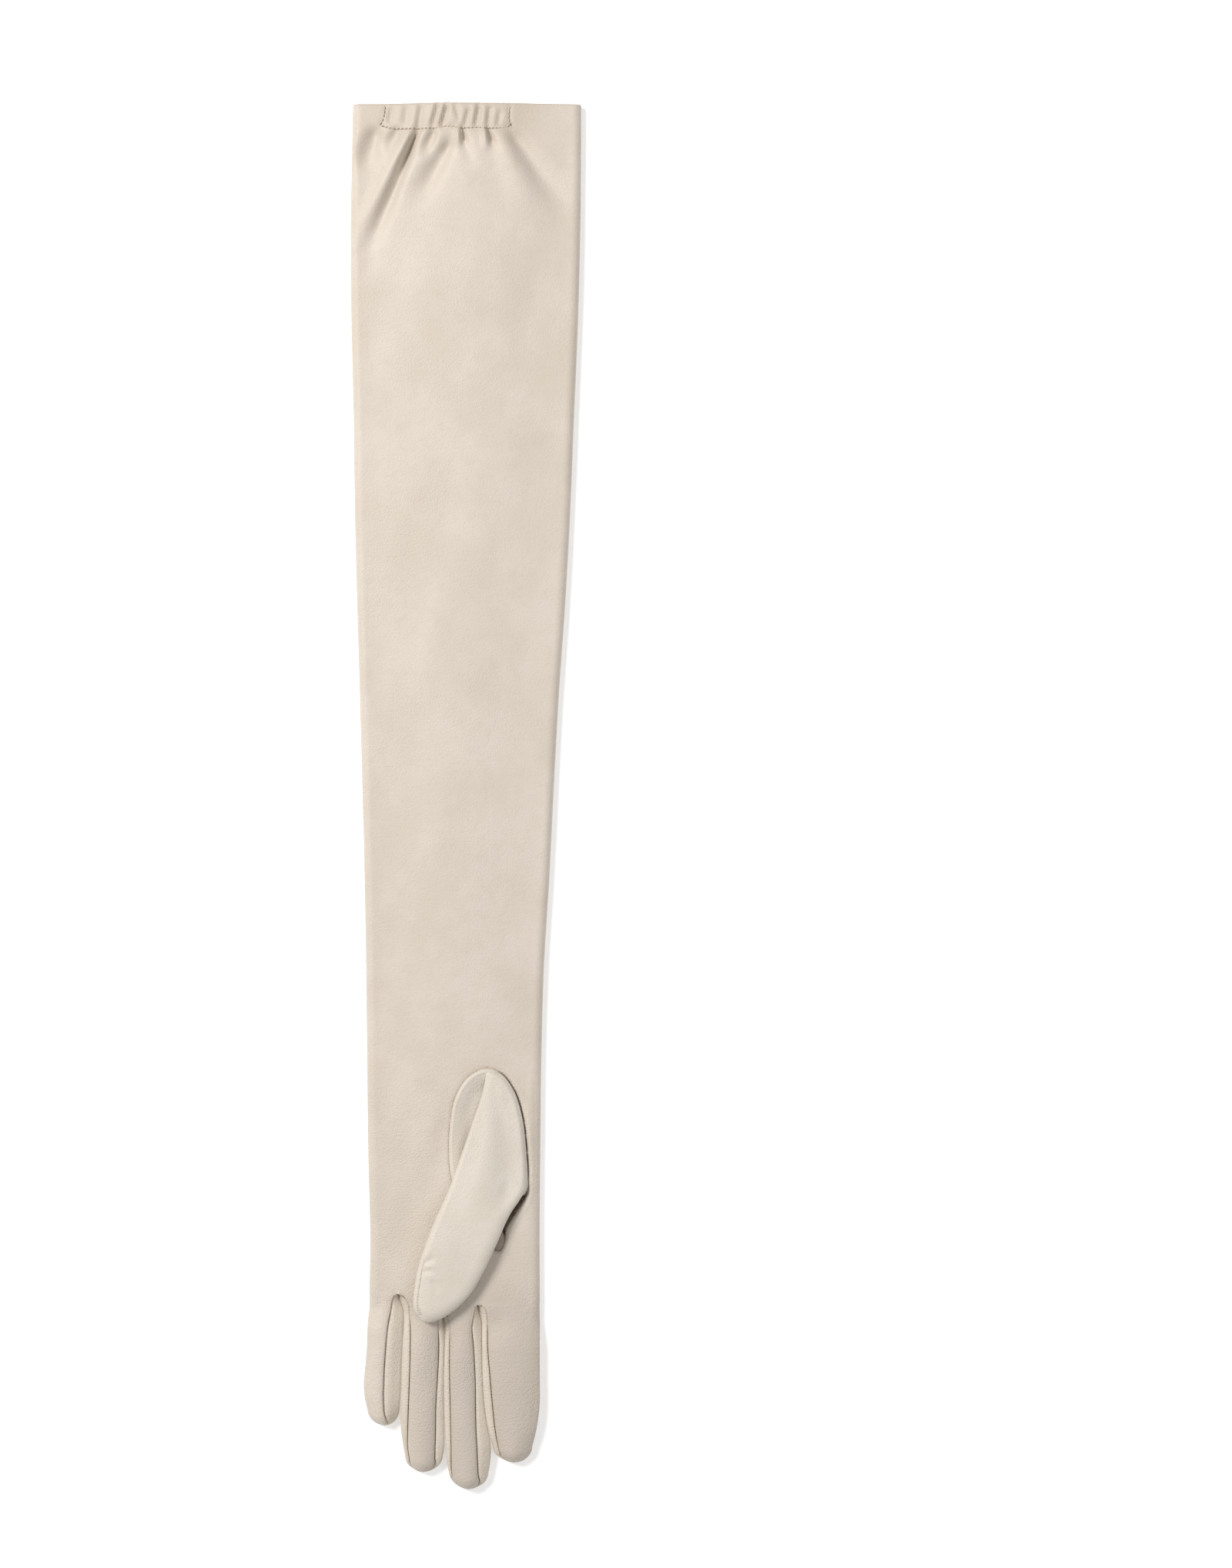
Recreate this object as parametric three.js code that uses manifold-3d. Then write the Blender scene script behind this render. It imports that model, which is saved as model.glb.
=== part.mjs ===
// Long dress glove of thin leather for the left hand, lying palm up with its thumb folded over the palm.
// Millimetres, +Z up. The cuff is towards +Y, the fingertips are towards -Y and the thumb side is +X.
// The origin is under the middle of the glove, on the surface that it lies on.

import * as THREE from 'three';
import { mergeVertices } from 'three/addons/utils/BufferGeometryUtils.js';
import Module from 'manifold-3d';

// Lengths along the hand and arm
const armLength = 561;
const littleReach = 59;
const ringReach = 81;
const middleReach = 89;
const indexReach = 76.5;
const thumbSpan = 118;
const thumbRise = 108.5;

// Widths
const cuffWidth = 107.4;
const palmWidth = 80;
const thumbWidth = 35;

// Heights of the lying glove
const sleeveDepth = 9;
const mouthDepth = 11;
const foldedEdge = 7;
const fingerDepth = 10.6;
const thumbDepth = 9.4;
const thumbHover = 0.5;
const fingerSink = 0.2;

// Leather and the play between two pieces of it
const wall = 1.2;
const narrowest = 0.8;
const seamGap = 0.3;
const apronRise = 1.1;
const quirkRise = 0.1;

// Elastic casing inside the cuff, and the gathers that it makes
const casingWidth = 61.5;
const casingDrop = 11;
const casingHem = 0.8;
const casingWall = 0.9;
const casingShift = -9;
const gatherReach = 70;
const foldDepth = 3.4;

// How far the slits between the fingers run into the palm, and the doubled leather at their ends
const crotchRise = 3.6;
const crotchWall = 2;

// Shares of form. crownPower says how flat a crown is; the shoulders are how much of a finger's and the
// thumb's height their round edges take; a fingertip rounds off over tipReach of its depth and closes at
// tipHeight of it; a finger begins fingerStart of palmWidth inside the palm and has its full depth after
// fingerGrowth of its reach; the knuckle line's bend fades out over knuckleBend of palmWidth.
const crownPower = 2.4;
const fingerShoulder = 0.8;
const thumbShoulder = 0.72;
const tipReach = 0.6;
const tipHeight = 0.4;
const fingerStart = 0.16;
const fingerGrowth = 0.35;
const knuckleBend = 0.35;

// Fineness of the sections
const gatherSteps = { top: 42, side: 4, bottom: 1 };
const sleeveSteps = { top: 12, side: 4, bottom: 1 };
const handSteps = { top: 22, side: 4, bottom: 14 };
const fingerSteps = { top: 5, side: 4, bottom: 1 };
const thumbSteps = { top: 7, side: 4, bottom: 4 };
const gatherRings = 12;
const holeSteps = 40;
const cutOvershoot = 4;

// The points of a section say how far round it they are: 0 to 1 on the left edge, to 2 over the top, to
// 3 on the right edge and to fullTurn below.
const fullTurn = 4;

const cuffY = (armLength + middleReach) / 2;
const knuckleY = cuffY - armLength;
const thumbRootY = knuckleY + thumbRise;

// Sleeve, cuff to knuckles. along is a share of armLength, flare goes from palmWidth at 0 to cuffWidth
// at 1, and lean is the middle's offset as a share of palmWidth.
const sleeveTable = [
  { along: 0.0, flare: 1.0, lean: 0.005 },
  { along: 0.03, flare: 1.01, lean: 0.003 },
  { along: 0.106, flare: 1.02, lean: -0.004 },
  { along: 0.183, flare: 0.968, lean: -0.009 },
  { along: 0.26, flare: 0.864, lean: -0.014 },
  { along: 0.338, flare: 0.779, lean: -0.021 },
  { along: 0.415, flare: 0.656, lean: -0.029 },
  { along: 0.492, flare: 0.5, lean: -0.04 },
  { along: 0.569, flare: 0.37, lean: -0.0475 },
  { along: 0.646, flare: 0.253, lean: -0.054 },
  { along: 0.724, flare: 0.13, lean: -0.066 },
  { along: 0.8, flare: 0.069, lean: -0.07 },
  { along: 0.878, flare: 0.032, lean: -0.07 },
  { along: 0.955, flare: -0.013, lean: -0.066 },
  { along: 1.0, flare: 0.006, lean: -0.0675 },
];

// Knuckle line. across runs from the little finger's edge to the index finger's as a share of palmWidth,
// and dip is how far the line stands from the knuckles, as a share of palmWidth.
const knuckleTable = [
  { across: 0.0, dip: 0.0 },
  { across: 0.18, dip: 0.0 },
  { across: 0.43, dip: -0.118 },
  { across: 0.64, dip: -0.063 },
  { across: 1.0, dip: 0.0 },
];

// Folds and gathers in the palm side below the cuff. x is from the casing's middle as a share of
// casingWidth, y is down from the cuff edge as a share of gatherReach, depth is a share of foldDepth and
// width a share of casingWidth. A fold runs from x0, y0 to x1, y1.
const foldTable = [
  { x0: -0.535, y0: 0.18, x1: -0.66, y1: 0.47, depth: 0.4, width: 0.06 },
  { x0: -0.37, y0: 0.17, x1: -0.44, y1: 0.31, depth: 0.3, width: 0.04 },
  { x0: -0.22, y0: 0.18, x1: -0.65, y1: 0.9, depth: 1.0, width: 0.055 },
  { x0: -0.09, y0: 0.17, x1: -0.19, y1: 0.34, depth: 0.45, width: 0.035 },
  { x0: 0.02, y0: 0.3, x1: -0.24, y1: 0.65, depth: 0.5, width: 0.065 },
  { x0: 0.13, y0: 0.17, x1: 0.14, y1: 0.29, depth: 0.5, width: 0.03 },
  { x0: 0.31, y0: 0.17, x1: 0.38, y1: 0.31, depth: 0.5, width: 0.03 },
  { x0: 0.48, y0: 0.18, x1: 0.92, y1: 0.7, depth: 0.4, width: 0.08 },
  { x0: -0.42, y0: 0.0, x1: -0.43, y1: 0.14, depth: 0.25, width: 0.03 },
  { x0: -0.2, y0: 0.0, x1: -0.22, y1: 0.15, depth: 0.3, width: 0.03 },
  { x0: -0.07, y0: 0.0, x1: -0.1, y1: 0.15, depth: 0.4, width: 0.03 },
  { x0: 0.06, y0: 0.0, x1: 0.04, y1: 0.13, depth: 0.35, width: 0.03 },
  { x0: 0.15, y0: 0.0, x1: 0.15, y1: 0.15, depth: 0.35, width: 0.03 },
  { x0: 0.24, y0: 0.0, x1: 0.23, y1: 0.13, depth: 0.3, width: 0.03 },
  { x0: 0.32, y0: 0.0, x1: 0.31, y1: 0.15, depth: 0.4, width: 0.03 },
  { x0: 0.41, y0: 0.0, x1: 0.4, y1: 0.13, depth: 0.3, width: 0.03 },
];

// Fingers, from the knuckles to the tips. axis is the finger's middle at the knuckles and breadth its
// width, both shares of palmWidth. along is a share of the finger's reach; left and right are its edges
// and seamLeft and seamRight the seams of its fourchettes, from the axis as shares of its breadth.
const littleFinger = {
  reach: littleReach,
  axis: 0.095,
  breadth: 0.208,
  rows: [
    { along: 0.06, left: -0.46, right: 0.48, seamRight: 0.2 },
    { along: 0.18, left: -0.5, right: 0.48, seamRight: 0.11 },
    { along: 0.37, left: -0.52, right: 0.465, seamRight: 0.033 },
    { along: 0.55, left: -0.576, right: 0.435, seamRight: -0.011 },
    { along: 0.67, left: -0.609, right: 0.424, seamRight: -0.022 },
    { along: 0.795, left: -0.565, right: 0.413, seamRight: -0.043 },
    { along: 0.887, left: -0.478, right: 0.37, seamRight: 0.0 },
    { along: 0.948, left: -0.348, right: 0.239, seamRight: 0.06 },
    { along: 0.98, left: -0.239, right: 0.109, seamRight: 0.2 },
    { along: 1.0, left: -0.1, right: -0.03, seamRight: 0.4 },
  ],
};
const ringFinger = {
  reach: ringReach,
  axis: 0.3154,
  breadth: 0.251,
  rows: [
    { along: 0.05, left: -0.44, right: 0.495, seamLeft: -0.36, seamRight: 0.42 },
    { along: 0.13, left: -0.445, right: 0.49, seamLeft: -0.319, seamRight: 0.393 },
    { along: 0.27, left: -0.47, right: 0.49, seamLeft: -0.31, seamRight: 0.402 },
    { along: 0.44, left: -0.49, right: 0.48, seamLeft: -0.328, seamRight: 0.375 },
    { along: 0.62, left: -0.51, right: 0.485, seamLeft: -0.355, seamRight: 0.33 },
    { along: 0.76, left: -0.508, right: 0.49, seamLeft: -0.373, seamRight: 0.321 },
    { along: 0.845, left: -0.463, right: 0.49, seamLeft: -0.382, seamRight: 0.312 },
    { along: 0.91, left: -0.418, right: 0.45, seamLeft: -0.37, seamRight: 0.31 },
    { along: 0.956, left: -0.355, right: 0.348, seamLeft: -0.36, seamRight: 0.33 },
    { along: 0.982, left: -0.229, right: 0.204, seamLeft: -0.5, seamRight: 0.5 },
    { along: 1.0, left: -0.04, right: 0.03, seamLeft: -0.7, seamRight: 0.7 },
  ],
};
const middleFinger = {
  reach: middleReach,
  axis: 0.561,
  breadth: 0.244,
  rows: [
    { along: 0.05, left: -0.47, right: 0.37, seamLeft: -0.42, seamRight: 0.24 },
    { along: 0.12, left: -0.46, right: 0.385, seamLeft: -0.4, seamRight: 0.204 },
    { along: 0.24, left: -0.475, right: 0.39, seamLeft: -0.398, seamRight: 0.241 },
    { along: 0.4, left: -0.48, right: 0.405, seamLeft: -0.39, seamRight: 0.278 },
    { along: 0.57, left: -0.47, right: 0.455, seamLeft: -0.37, seamRight: 0.287 },
    { along: 0.69, left: -0.455, right: 0.55, seamLeft: -0.361, seamRight: 0.296 },
    { along: 0.77, left: -0.445, right: 0.615, seamLeft: -0.352, seamRight: 0.315 },
    { along: 0.85, left: -0.43, right: 0.611, seamLeft: -0.352, seamRight: 0.333 },
    { along: 0.91, left: -0.389, right: 0.565, seamLeft: -0.343, seamRight: 0.348 },
    { along: 0.97, left: -0.259, right: 0.44, seamLeft: -0.3, seamRight: 0.38 },
    { along: 0.988, left: -0.111, right: 0.296, seamLeft: -0.5, seamRight: 0.6 },
    { along: 1.0, left: 0.055, right: 0.13, seamLeft: -0.7, seamRight: 0.8 },
  ],
};
const indexFinger = {
  reach: indexReach,
  axis: 0.834,
  breadth: 0.33,
  rows: [
    { along: 0.05, left: -0.5, right: 0.5, seamLeft: -0.47 },
    { along: 0.14, left: -0.5, right: 0.505, seamLeft: -0.448 },
    { along: 0.28, left: -0.495, right: 0.505, seamLeft: -0.435 },
    { along: 0.47, left: -0.488, right: 0.505, seamLeft: -0.388 },
    { along: 0.66, left: -0.45, right: 0.5, seamLeft: -0.34 },
    { along: 0.8, left: -0.395, right: 0.441, seamLeft: -0.299 },
    { along: 0.87, left: -0.353, right: 0.393, seamLeft: -0.271 },
    { along: 0.94, left: -0.271, right: 0.325, seamLeft: -0.235 },
    { along: 0.98, left: -0.155, right: 0.242, seamLeft: -0.3 },
    { along: 1.0, left: 0.02, right: 0.08, seamLeft: -0.5 },
  ],
};
const fingers = [littleFinger, ringFinger, middleFinger, indexFinger];

// Thumb, from the top of its hole to its tip. along is a share of thumbSpan, left and right are its
// edges from the top of the hole as shares of thumbWidth, and full is its thickness as a share of
// thumbDepth.
const thumbRootAcross = 0.188;
const thumbTable = [
  { along: 0.02, left: 0.0, right: 0.2, full: 0.16 },
  { along: 0.045, left: -0.005, right: 0.267, full: 0.26 },
  { along: 0.082, left: -0.041, right: 0.36, full: 0.4 },
  { along: 0.134, left: -0.097, right: 0.43, full: 0.55 },
  { along: 0.19, left: -0.164, right: 0.472, full: 0.68 },
  { along: 0.25, left: -0.231, right: 0.505, full: 0.79 },
  { along: 0.31, left: -0.303, right: 0.525, full: 0.88 },
  { along: 0.37, left: -0.369, right: 0.535, full: 0.94 },
  { along: 0.43, left: -0.451, right: 0.54, full: 0.98 },
  { along: 0.476, left: -0.513, right: 0.535, full: 1.0 },
  { along: 0.515, left: -0.564, right: 0.462, full: 1.0 },
  { along: 0.573, left: -0.651, right: 0.328, full: 1.0 },
  { along: 0.68, left: -0.79, right: 0.154, full: 0.99 },
  { along: 0.787, left: -0.908, right: -0.01, full: 0.97 },
  { along: 0.848, left: -0.938, right: -0.113, full: 0.96 },
  { along: 0.89, left: -0.964, right: -0.215, full: 0.93 },
  { along: 0.924, left: -0.974, right: -0.318, full: 0.88 },
  { along: 0.951, left: -0.969, right: -0.421, full: 0.8 },
  { along: 0.973, left: -0.944, right: -0.523, full: 0.7 },
  { along: 0.991, left: -0.882, right: -0.656, full: 0.54 },
  { along: 1.0, left: -0.81, right: -0.749, full: 0.4 },
];

// Plan outlines about the top of the thumb's hole: x is a share of thumbWidth, towards the index
// finger, and y a share of thumbSpan, towards the fingertips.
const holeOutline = [
  { x: 0.0, y: 0.0 },
  { x: 0.18, y: 0.014 },
  { x: 0.369, y: 0.082 },
  { x: 0.482, y: 0.186 },
  { x: 0.533, y: 0.308 },
  { x: 0.549, y: 0.43 },
  { x: 0.53, y: 0.5 },
  { x: 0.4, y: 0.565 },
  { x: 0.26, y: 0.635 },
  { x: 0.23, y: 0.69 },
  { x: 0.17, y: 0.722 },
  { x: 0.02, y: 0.69 },
  { x: -0.2, y: 0.62 },
  { x: -0.36, y: 0.52 },
  { x: -0.46, y: 0.42 },
  { x: -0.487, y: 0.32 },
  { x: -0.47, y: 0.216 },
  { x: -0.4, y: 0.11 },
  { x: -0.2, y: 0.026 },
];
const quirkOutline = [
  { x: 0.3, y: 0.6 },
  { x: 0.3, y: 0.76 },
  { x: -0.1, y: 0.76 },
  { x: 0.02, y: 0.66 },
  { x: 0.14, y: 0.618 },
];
const passageOutline = [
  { x: 0.04, y: 0.1 },
  { x: 0.33, y: 0.1 },
  { x: 0.42, y: 0.186 },
  { x: 0.46, y: 0.28 },
  { x: 0.475, y: 0.37 },
  { x: 0.47, y: 0.46 },
  { x: 0.37, y: 0.53 },
  { x: 0.22, y: 0.59 },
  { x: -0.1, y: 0.59 },
  { x: -0.24, y: 0.54 },
  { x: -0.33, y: 0.46 },
  { x: -0.28, y: 0.37 },
  { x: -0.18, y: 0.28 },
  { x: -0.07, y: 0.186 },
];

const wasm = await Module();
wasm.setup();

// Reads a table's columns at any place along it, smoothly between its rows.
function reader(rows, key, columns) {
  const places = rows.map((row) => row[key]);
  const values = rows.flatMap((row) => columns.map((column) => row[column] ?? 0));
  const curve = new THREE.CubicInterpolant(places, values, columns.length);
  return (place) => {
    const result = curve.evaluate(place);
    return Object.fromEntries(columns.map((column, i) => [column, result[i]]));
  };
}

function toSolid(geometry) {
  const bare = geometry.clone();
  bare.deleteAttribute('normal');
  bare.deleteAttribute('uv');
  const merged = mergeVertices(bare, 1e-5);
  return new wasm.Manifold(new wasm.Mesh({
    numProp: 3,
    vertProperties: new Float32Array(merged.attributes.position.array),
    triVerts: new Uint32Array(merged.index.array),
  }));
}

function toGeometry(solid) {
  const mesh = solid.getMesh();
  const geometry = new THREE.BufferGeometry();
  geometry.setAttribute('position', new THREE.BufferAttribute(mesh.vertProperties, 3));
  geometry.setIndex(new THREE.BufferAttribute(mesh.triVerts, 1));
  geometry.computeVertexNormals();
  return geometry;
}

// Triangles that fill a ring: they zip its upper side to its lower side, from its left to its right.
function fill(ring) {
  const size = ring.length;
  const across = ring.map((point) => point.x);
  const last = across.indexOf(Math.max(...across));
  let upper = across.indexOf(Math.min(...across));
  let lower = upper;
  const triangles = [];
  while (upper !== last || lower !== last) {
    const nextUpper = (upper + 1) % size;
    const nextLower = (lower + size - 1) % size;
    if (lower === last || (upper !== last && across[nextUpper] <= across[nextLower])) {
      triangles.push([upper, nextUpper, lower]);
      upper = nextUpper;
    } else {
      triangles.push([upper, nextLower, lower]);
      lower = nextLower;
    }
  }
  return triangles.filter((corners) => new Set(corners).size === 3);
}

// Triangles between two neighbouring rings, whose points may differ in number: they are matched by turn.
function band(ring, next) {
  const triangles = [];
  let i = 0;
  let j = 0;
  while (i < ring.length || j < next.length) {
    const turnHere = i + 1 < ring.length ? ring[i + 1].turn : fullTurn;
    const turnThere = j + 1 < next.length ? next[j + 1].turn : fullTurn;
    const here = i % ring.length;
    const there = ring.length + (j % next.length);
    if (j === next.length || (i < ring.length && turnHere <= turnThere)) {
      triangles.push([here, there, (i + 1) % ring.length]);
      i += 1;
    } else {
      triangles.push([here, there, ring.length + ((j + 1) % next.length)]);
      j += 1;
    }
  }
  return triangles;
}

// A solid skinned over closed rings of points and capped at both ends. The rings run towards -Y.
function loft(rings) {
  const positions = rings.flat().flatMap(({ x, y, z }) => [x, y, z]);
  const triangles = [];
  let start = 0;
  for (let i = 0; i < rings.length; i++) {
    if (i === 0 || i === rings.length - 1) {
      const order = i === 0 ? [0, 1, 2] : [0, 2, 1];
      for (const corners of fill(rings[i])) {
        triangles.push(...order.map((corner) => start + corners[corner]));
      }
    }
    if (i + 1 < rings.length) {
      triangles.push(...band(rings[i], rings[i + 1]).flat().map((corner) => start + corner));
    }
    start += rings[i].length;
  }
  const geometry = new THREE.BufferGeometry();
  geometry.setAttribute('position', new THREE.Float32BufferAttribute(positions, 3));
  geometry.setIndex(triangles);
  return toSolid(geometry);
}

// A closed section, flat below, round at both edges and crowned above, from the left edge's foot over
// the top to the right edge's foot. shoulder is the height of the round edges.
function section({ left, right, low, shoulder, high }, steps) {
  const radius = (shoulder - low) / 2;
  const flat = right - left - 2 * radius;
  const points = [];
  for (let i = 0; i <= steps.side; i++) {
    const angle = Math.PI * (1.5 - i / steps.side);
    points.push({
      x: left + radius + radius * Math.cos(angle),
      z: low + radius + radius * Math.sin(angle),
      turn: i / steps.side,
    });
  }
  for (let i = 1; i < steps.top; i++) {
    const share = i / steps.top;
    const crown = (high - shoulder) * crownShape(2 * share - 1);
    points.push({ x: left + radius + flat * share, z: shoulder + crown, turn: 1 + share, top: true });
  }
  for (let i = 0; i <= steps.side; i++) {
    const angle = Math.PI * (0.5 - i / steps.side);
    points.push({
      x: right - radius + radius * Math.cos(angle),
      z: low + radius + radius * Math.sin(angle),
      turn: 2 + i / steps.side,
    });
  }
  for (let i = 1; i < steps.bottom; i++) {
    const share = i / steps.bottom;
    points.push({ x: right - radius - flat * share, z: low, turn: 3 + share });
  }
  return points;
}

function crownShape(across) {
  return 1 - Math.abs(across) ** crownPower;
}

const sleeveAt = reader(sleeveTable, 'along', ['flare', 'lean']);

// The sleeve's section at a height y: its edges, folded edge and crown. The gathers hold its mouth open,
// and it falls to its usual depth over twice their reach.
function sleeveSection(y, inset) {
  const { flare, lean } = sleeveAt(THREE.MathUtils.clamp((cuffY - y) / armLength, 0, 1));
  const fall = THREE.MathUtils.smoothstep(cuffY - y, 0, 2 * gatherReach);
  const width = palmWidth + flare * (cuffWidth - palmWidth);
  const middle = lean * palmWidth;
  return {
    left: middle - width / 2 + inset,
    right: middle + width / 2 - inset,
    low: inset,
    shoulder: foldedEdge - inset,
    high: THREE.MathUtils.lerp(mouthDepth, sleeveDepth, fall) - inset,
  };
}

const palmMiddle = sleeveTable.at(-1).lean * palmWidth;
const palmLeft = palmMiddle - palmWidth / 2;

// Height of the glove's upper skin where it has no fold.
function skinHeight(x, y) {
  const { left, right, shoulder, high } = sleeveSection(y, 0);
  const reach = (right - left) / 2 - shoulder / 2;
  const across = THREE.MathUtils.clamp((x - (left + right) / 2) / reach, -1, 1);
  return shoulder + (high - shoulder) * crownShape(across);
}

// How far the folds and gathers sink the upper skin. A fold spreads as it runs and fades at both ends.
function foldSink(x, y) {
  const place = new THREE.Vector2(x - casingShift, cuffY - y);
  const spread = 0.6;
  let sink = 0;
  for (const fold of foldTable) {
    const from = new THREE.Vector2(fold.x0 * casingWidth, fold.y0 * gatherReach);
    const run = new THREE.Vector2(fold.x1 * casingWidth, fold.y1 * gatherReach).sub(from);
    const length = run.length();
    const offset = place.clone().sub(from);
    const along = offset.dot(run) / length ** 2;
    const aside = Math.abs(offset.cross(run)) / length;
    const width = fold.width * casingWidth * (1 + spread * THREE.MathUtils.clamp(along, 0, 1));
    const rise = THREE.MathUtils.smoothstep(along, -0.15, 0.1);
    const fall = 1 - THREE.MathUtils.smoothstep(along, 0.6, 1.15);
    sink += fold.depth * foldDepth * rise * fall * Math.exp(-((aside / width) ** 2));
  }
  return sink;
}

const dipAt = reader(knuckleTable, 'across', ['dip']);

function knuckleDip(x) {
  return dipAt(THREE.MathUtils.clamp((x - palmLeft) / palmWidth, 0, 1)).dip * palmWidth;
}

// The gathers and the hand have the finest sections. The hand's reach from half a palm above the knuckles.
function stepsAt(y) {
  if (y < knuckleY + palmWidth / 2) {
    return handSteps;
  }
  return y < cuffY - gatherReach - cutOvershoot ? sleeveSteps : gatherSteps;
}

// The sleeve and palm as one closed body, drawn in by inset from the outer skin on every side. With
// open, it runs on past the cuff edge.
function armBody(inset, open) {
  const heights = [];
  for (let i = 0; i <= gatherRings; i++) {
    heights.push(cuffY - (gatherReach * i) / gatherRings);
  }
  for (const { along } of sleeveTable) {
    const y = cuffY - along * armLength;
    if (y < cuffY - gatherReach - cutOvershoot && along < 1) {
      heights.push(y);
    }
  }
  heights.push(knuckleY + (inset / wall) * crotchWall);
  const bendFrom = knuckleY + palmWidth * knuckleBend;
  const rings = heights.map((y) => {
    const steps = stepsAt(y);
    const bend = 1 - THREE.MathUtils.smoothstep(y, knuckleY, bendFrom);
    return section(sleeveSection(y, inset), steps).map(({ x, z, turn, top }) => {
      const sink = top ? foldSink(x, y) : 0;
      return { x, y: y + bend * knuckleDip(x), z: z - sink, turn };
    });
  });
  if (open) {
    rings.unshift(rings[0].map((point) => ({ ...point, y: cuffY + cutOvershoot })));
  }
  return loft(rings);
}

// One finger as a closed body that starts inside the palm, drawn in by inset.
function fingerBody(finger, inset) {
  const at = reader(finger.rows, 'along', ['left', 'right']);
  const axisX = palmLeft + finger.axis * palmWidth;
  const breadth = finger.breadth * palmWidth;
  const base = skinHeight(axisX, knuckleY) - fingerSink;
  const distances = [-fingerStart * palmWidth, 0, ...finger.rows.map((row) => row.along * finger.reach)];
  const tipLength = fingerDepth * tipReach;
  const rings = distances.map((distance) => {
    const { left, right } = at(Math.max(distance / finger.reach, finger.rows[0].along));
    const middle = (left + right) / 2;
    const grown = THREE.MathUtils.smoothstep(distance, 0, finger.reach * fingerGrowth);
    const tip = THREE.MathUtils.clamp((distance - finger.reach + tipLength) / tipLength, 0, 0.985);
    const round = Math.sqrt(1 - tip ** 2);
    const depth = THREE.MathUtils.lerp(base, fingerDepth, grown);
    const half = Math.max(((right - left) / 2) * breadth - inset, narrowest / 2);
    const lift = inset * Math.max(round, 0.5);
    const low = depth * tipHeight * (1 - round) + lift;
    const high = Math.max(depth * THREE.MathUtils.lerp(tipHeight, 1, round) - lift, low + narrowest);
    const edge = Math.min(half * 1.9, (high - low) * fingerShoulder);
    const shape = {
      left: axisX + middle * breadth - half,
      right: axisX + middle * breadth + half,
      low,
      shoulder: low + edge,
      high,
    };
    const y = knuckleY - distance * ((finger.reach - inset) / finger.reach) ** (distance > 0 ? 1 : 0);
    return section(shape, fingerSteps).map((point) => ({ ...point, y }));
  });
  return loft(rings);
}

// A straight prism over a plan outline of x and y points. A point in line with its neighbours is left
// out, because the caps have no use for it.
function prism(outline, low, high) {
  const corners = outline.filter((point, i) => {
    const before = outline[(i + outline.length - 1) % outline.length];
    const after = outline[(i + 1) % outline.length];
    return Math.abs(point.clone().sub(before).cross(after.clone().sub(point))) > 1e-4;
  });
  const shape = new THREE.Shape(corners);
  const geometry = new THREE.ExtrudeGeometry(shape, { depth: high - low, bevelEnabled: false });
  geometry.translate(0, 0, low);
  return toSolid(geometry);
}

// Moves the sides of a closed outline out by a distance, or in if it is negative. A sharp corner moves
// no further than sharpest times the distance.
function grow(outline, distance) {
  const turn = Math.sign(THREE.ShapeUtils.area(outline));
  const sharpest = 4;
  const normals = outline.map((point, i) => {
    const run = outline[(i + 1) % outline.length].clone().sub(point).normalize();
    return new THREE.Vector2(run.y * turn, -run.x * turn);
  });
  return outline.map((point, i) => {
    const before = normals[(i + outline.length - 1) % outline.length];
    const middle = normals[i].clone().add(before).normalize();
    const reach = Math.min(1 / Math.max(middle.dot(before), 1e-3), sharpest);
    return point.clone().addScaledVector(middle, distance * reach);
  });
}

const thumbRootX = palmMiddle + thumbRootAcross * palmWidth;

function thumbPlan(outline) {
  const place = ({ x, y }) => new THREE.Vector2(thumbRootX + x * thumbWidth, thumbRootY - y * thumbSpan);
  return outline.map(place);
}

function smoothOutline(points, count) {
  const corners = points.map((point) => new THREE.Vector3(point.x, point.y, 0));
  const curve = new THREE.CatmullRomCurve3(corners, true, 'centripetal');
  return curve.getPoints(count).slice(0, -1).map((point) => new THREE.Vector2(point.x, point.y));
}

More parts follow.
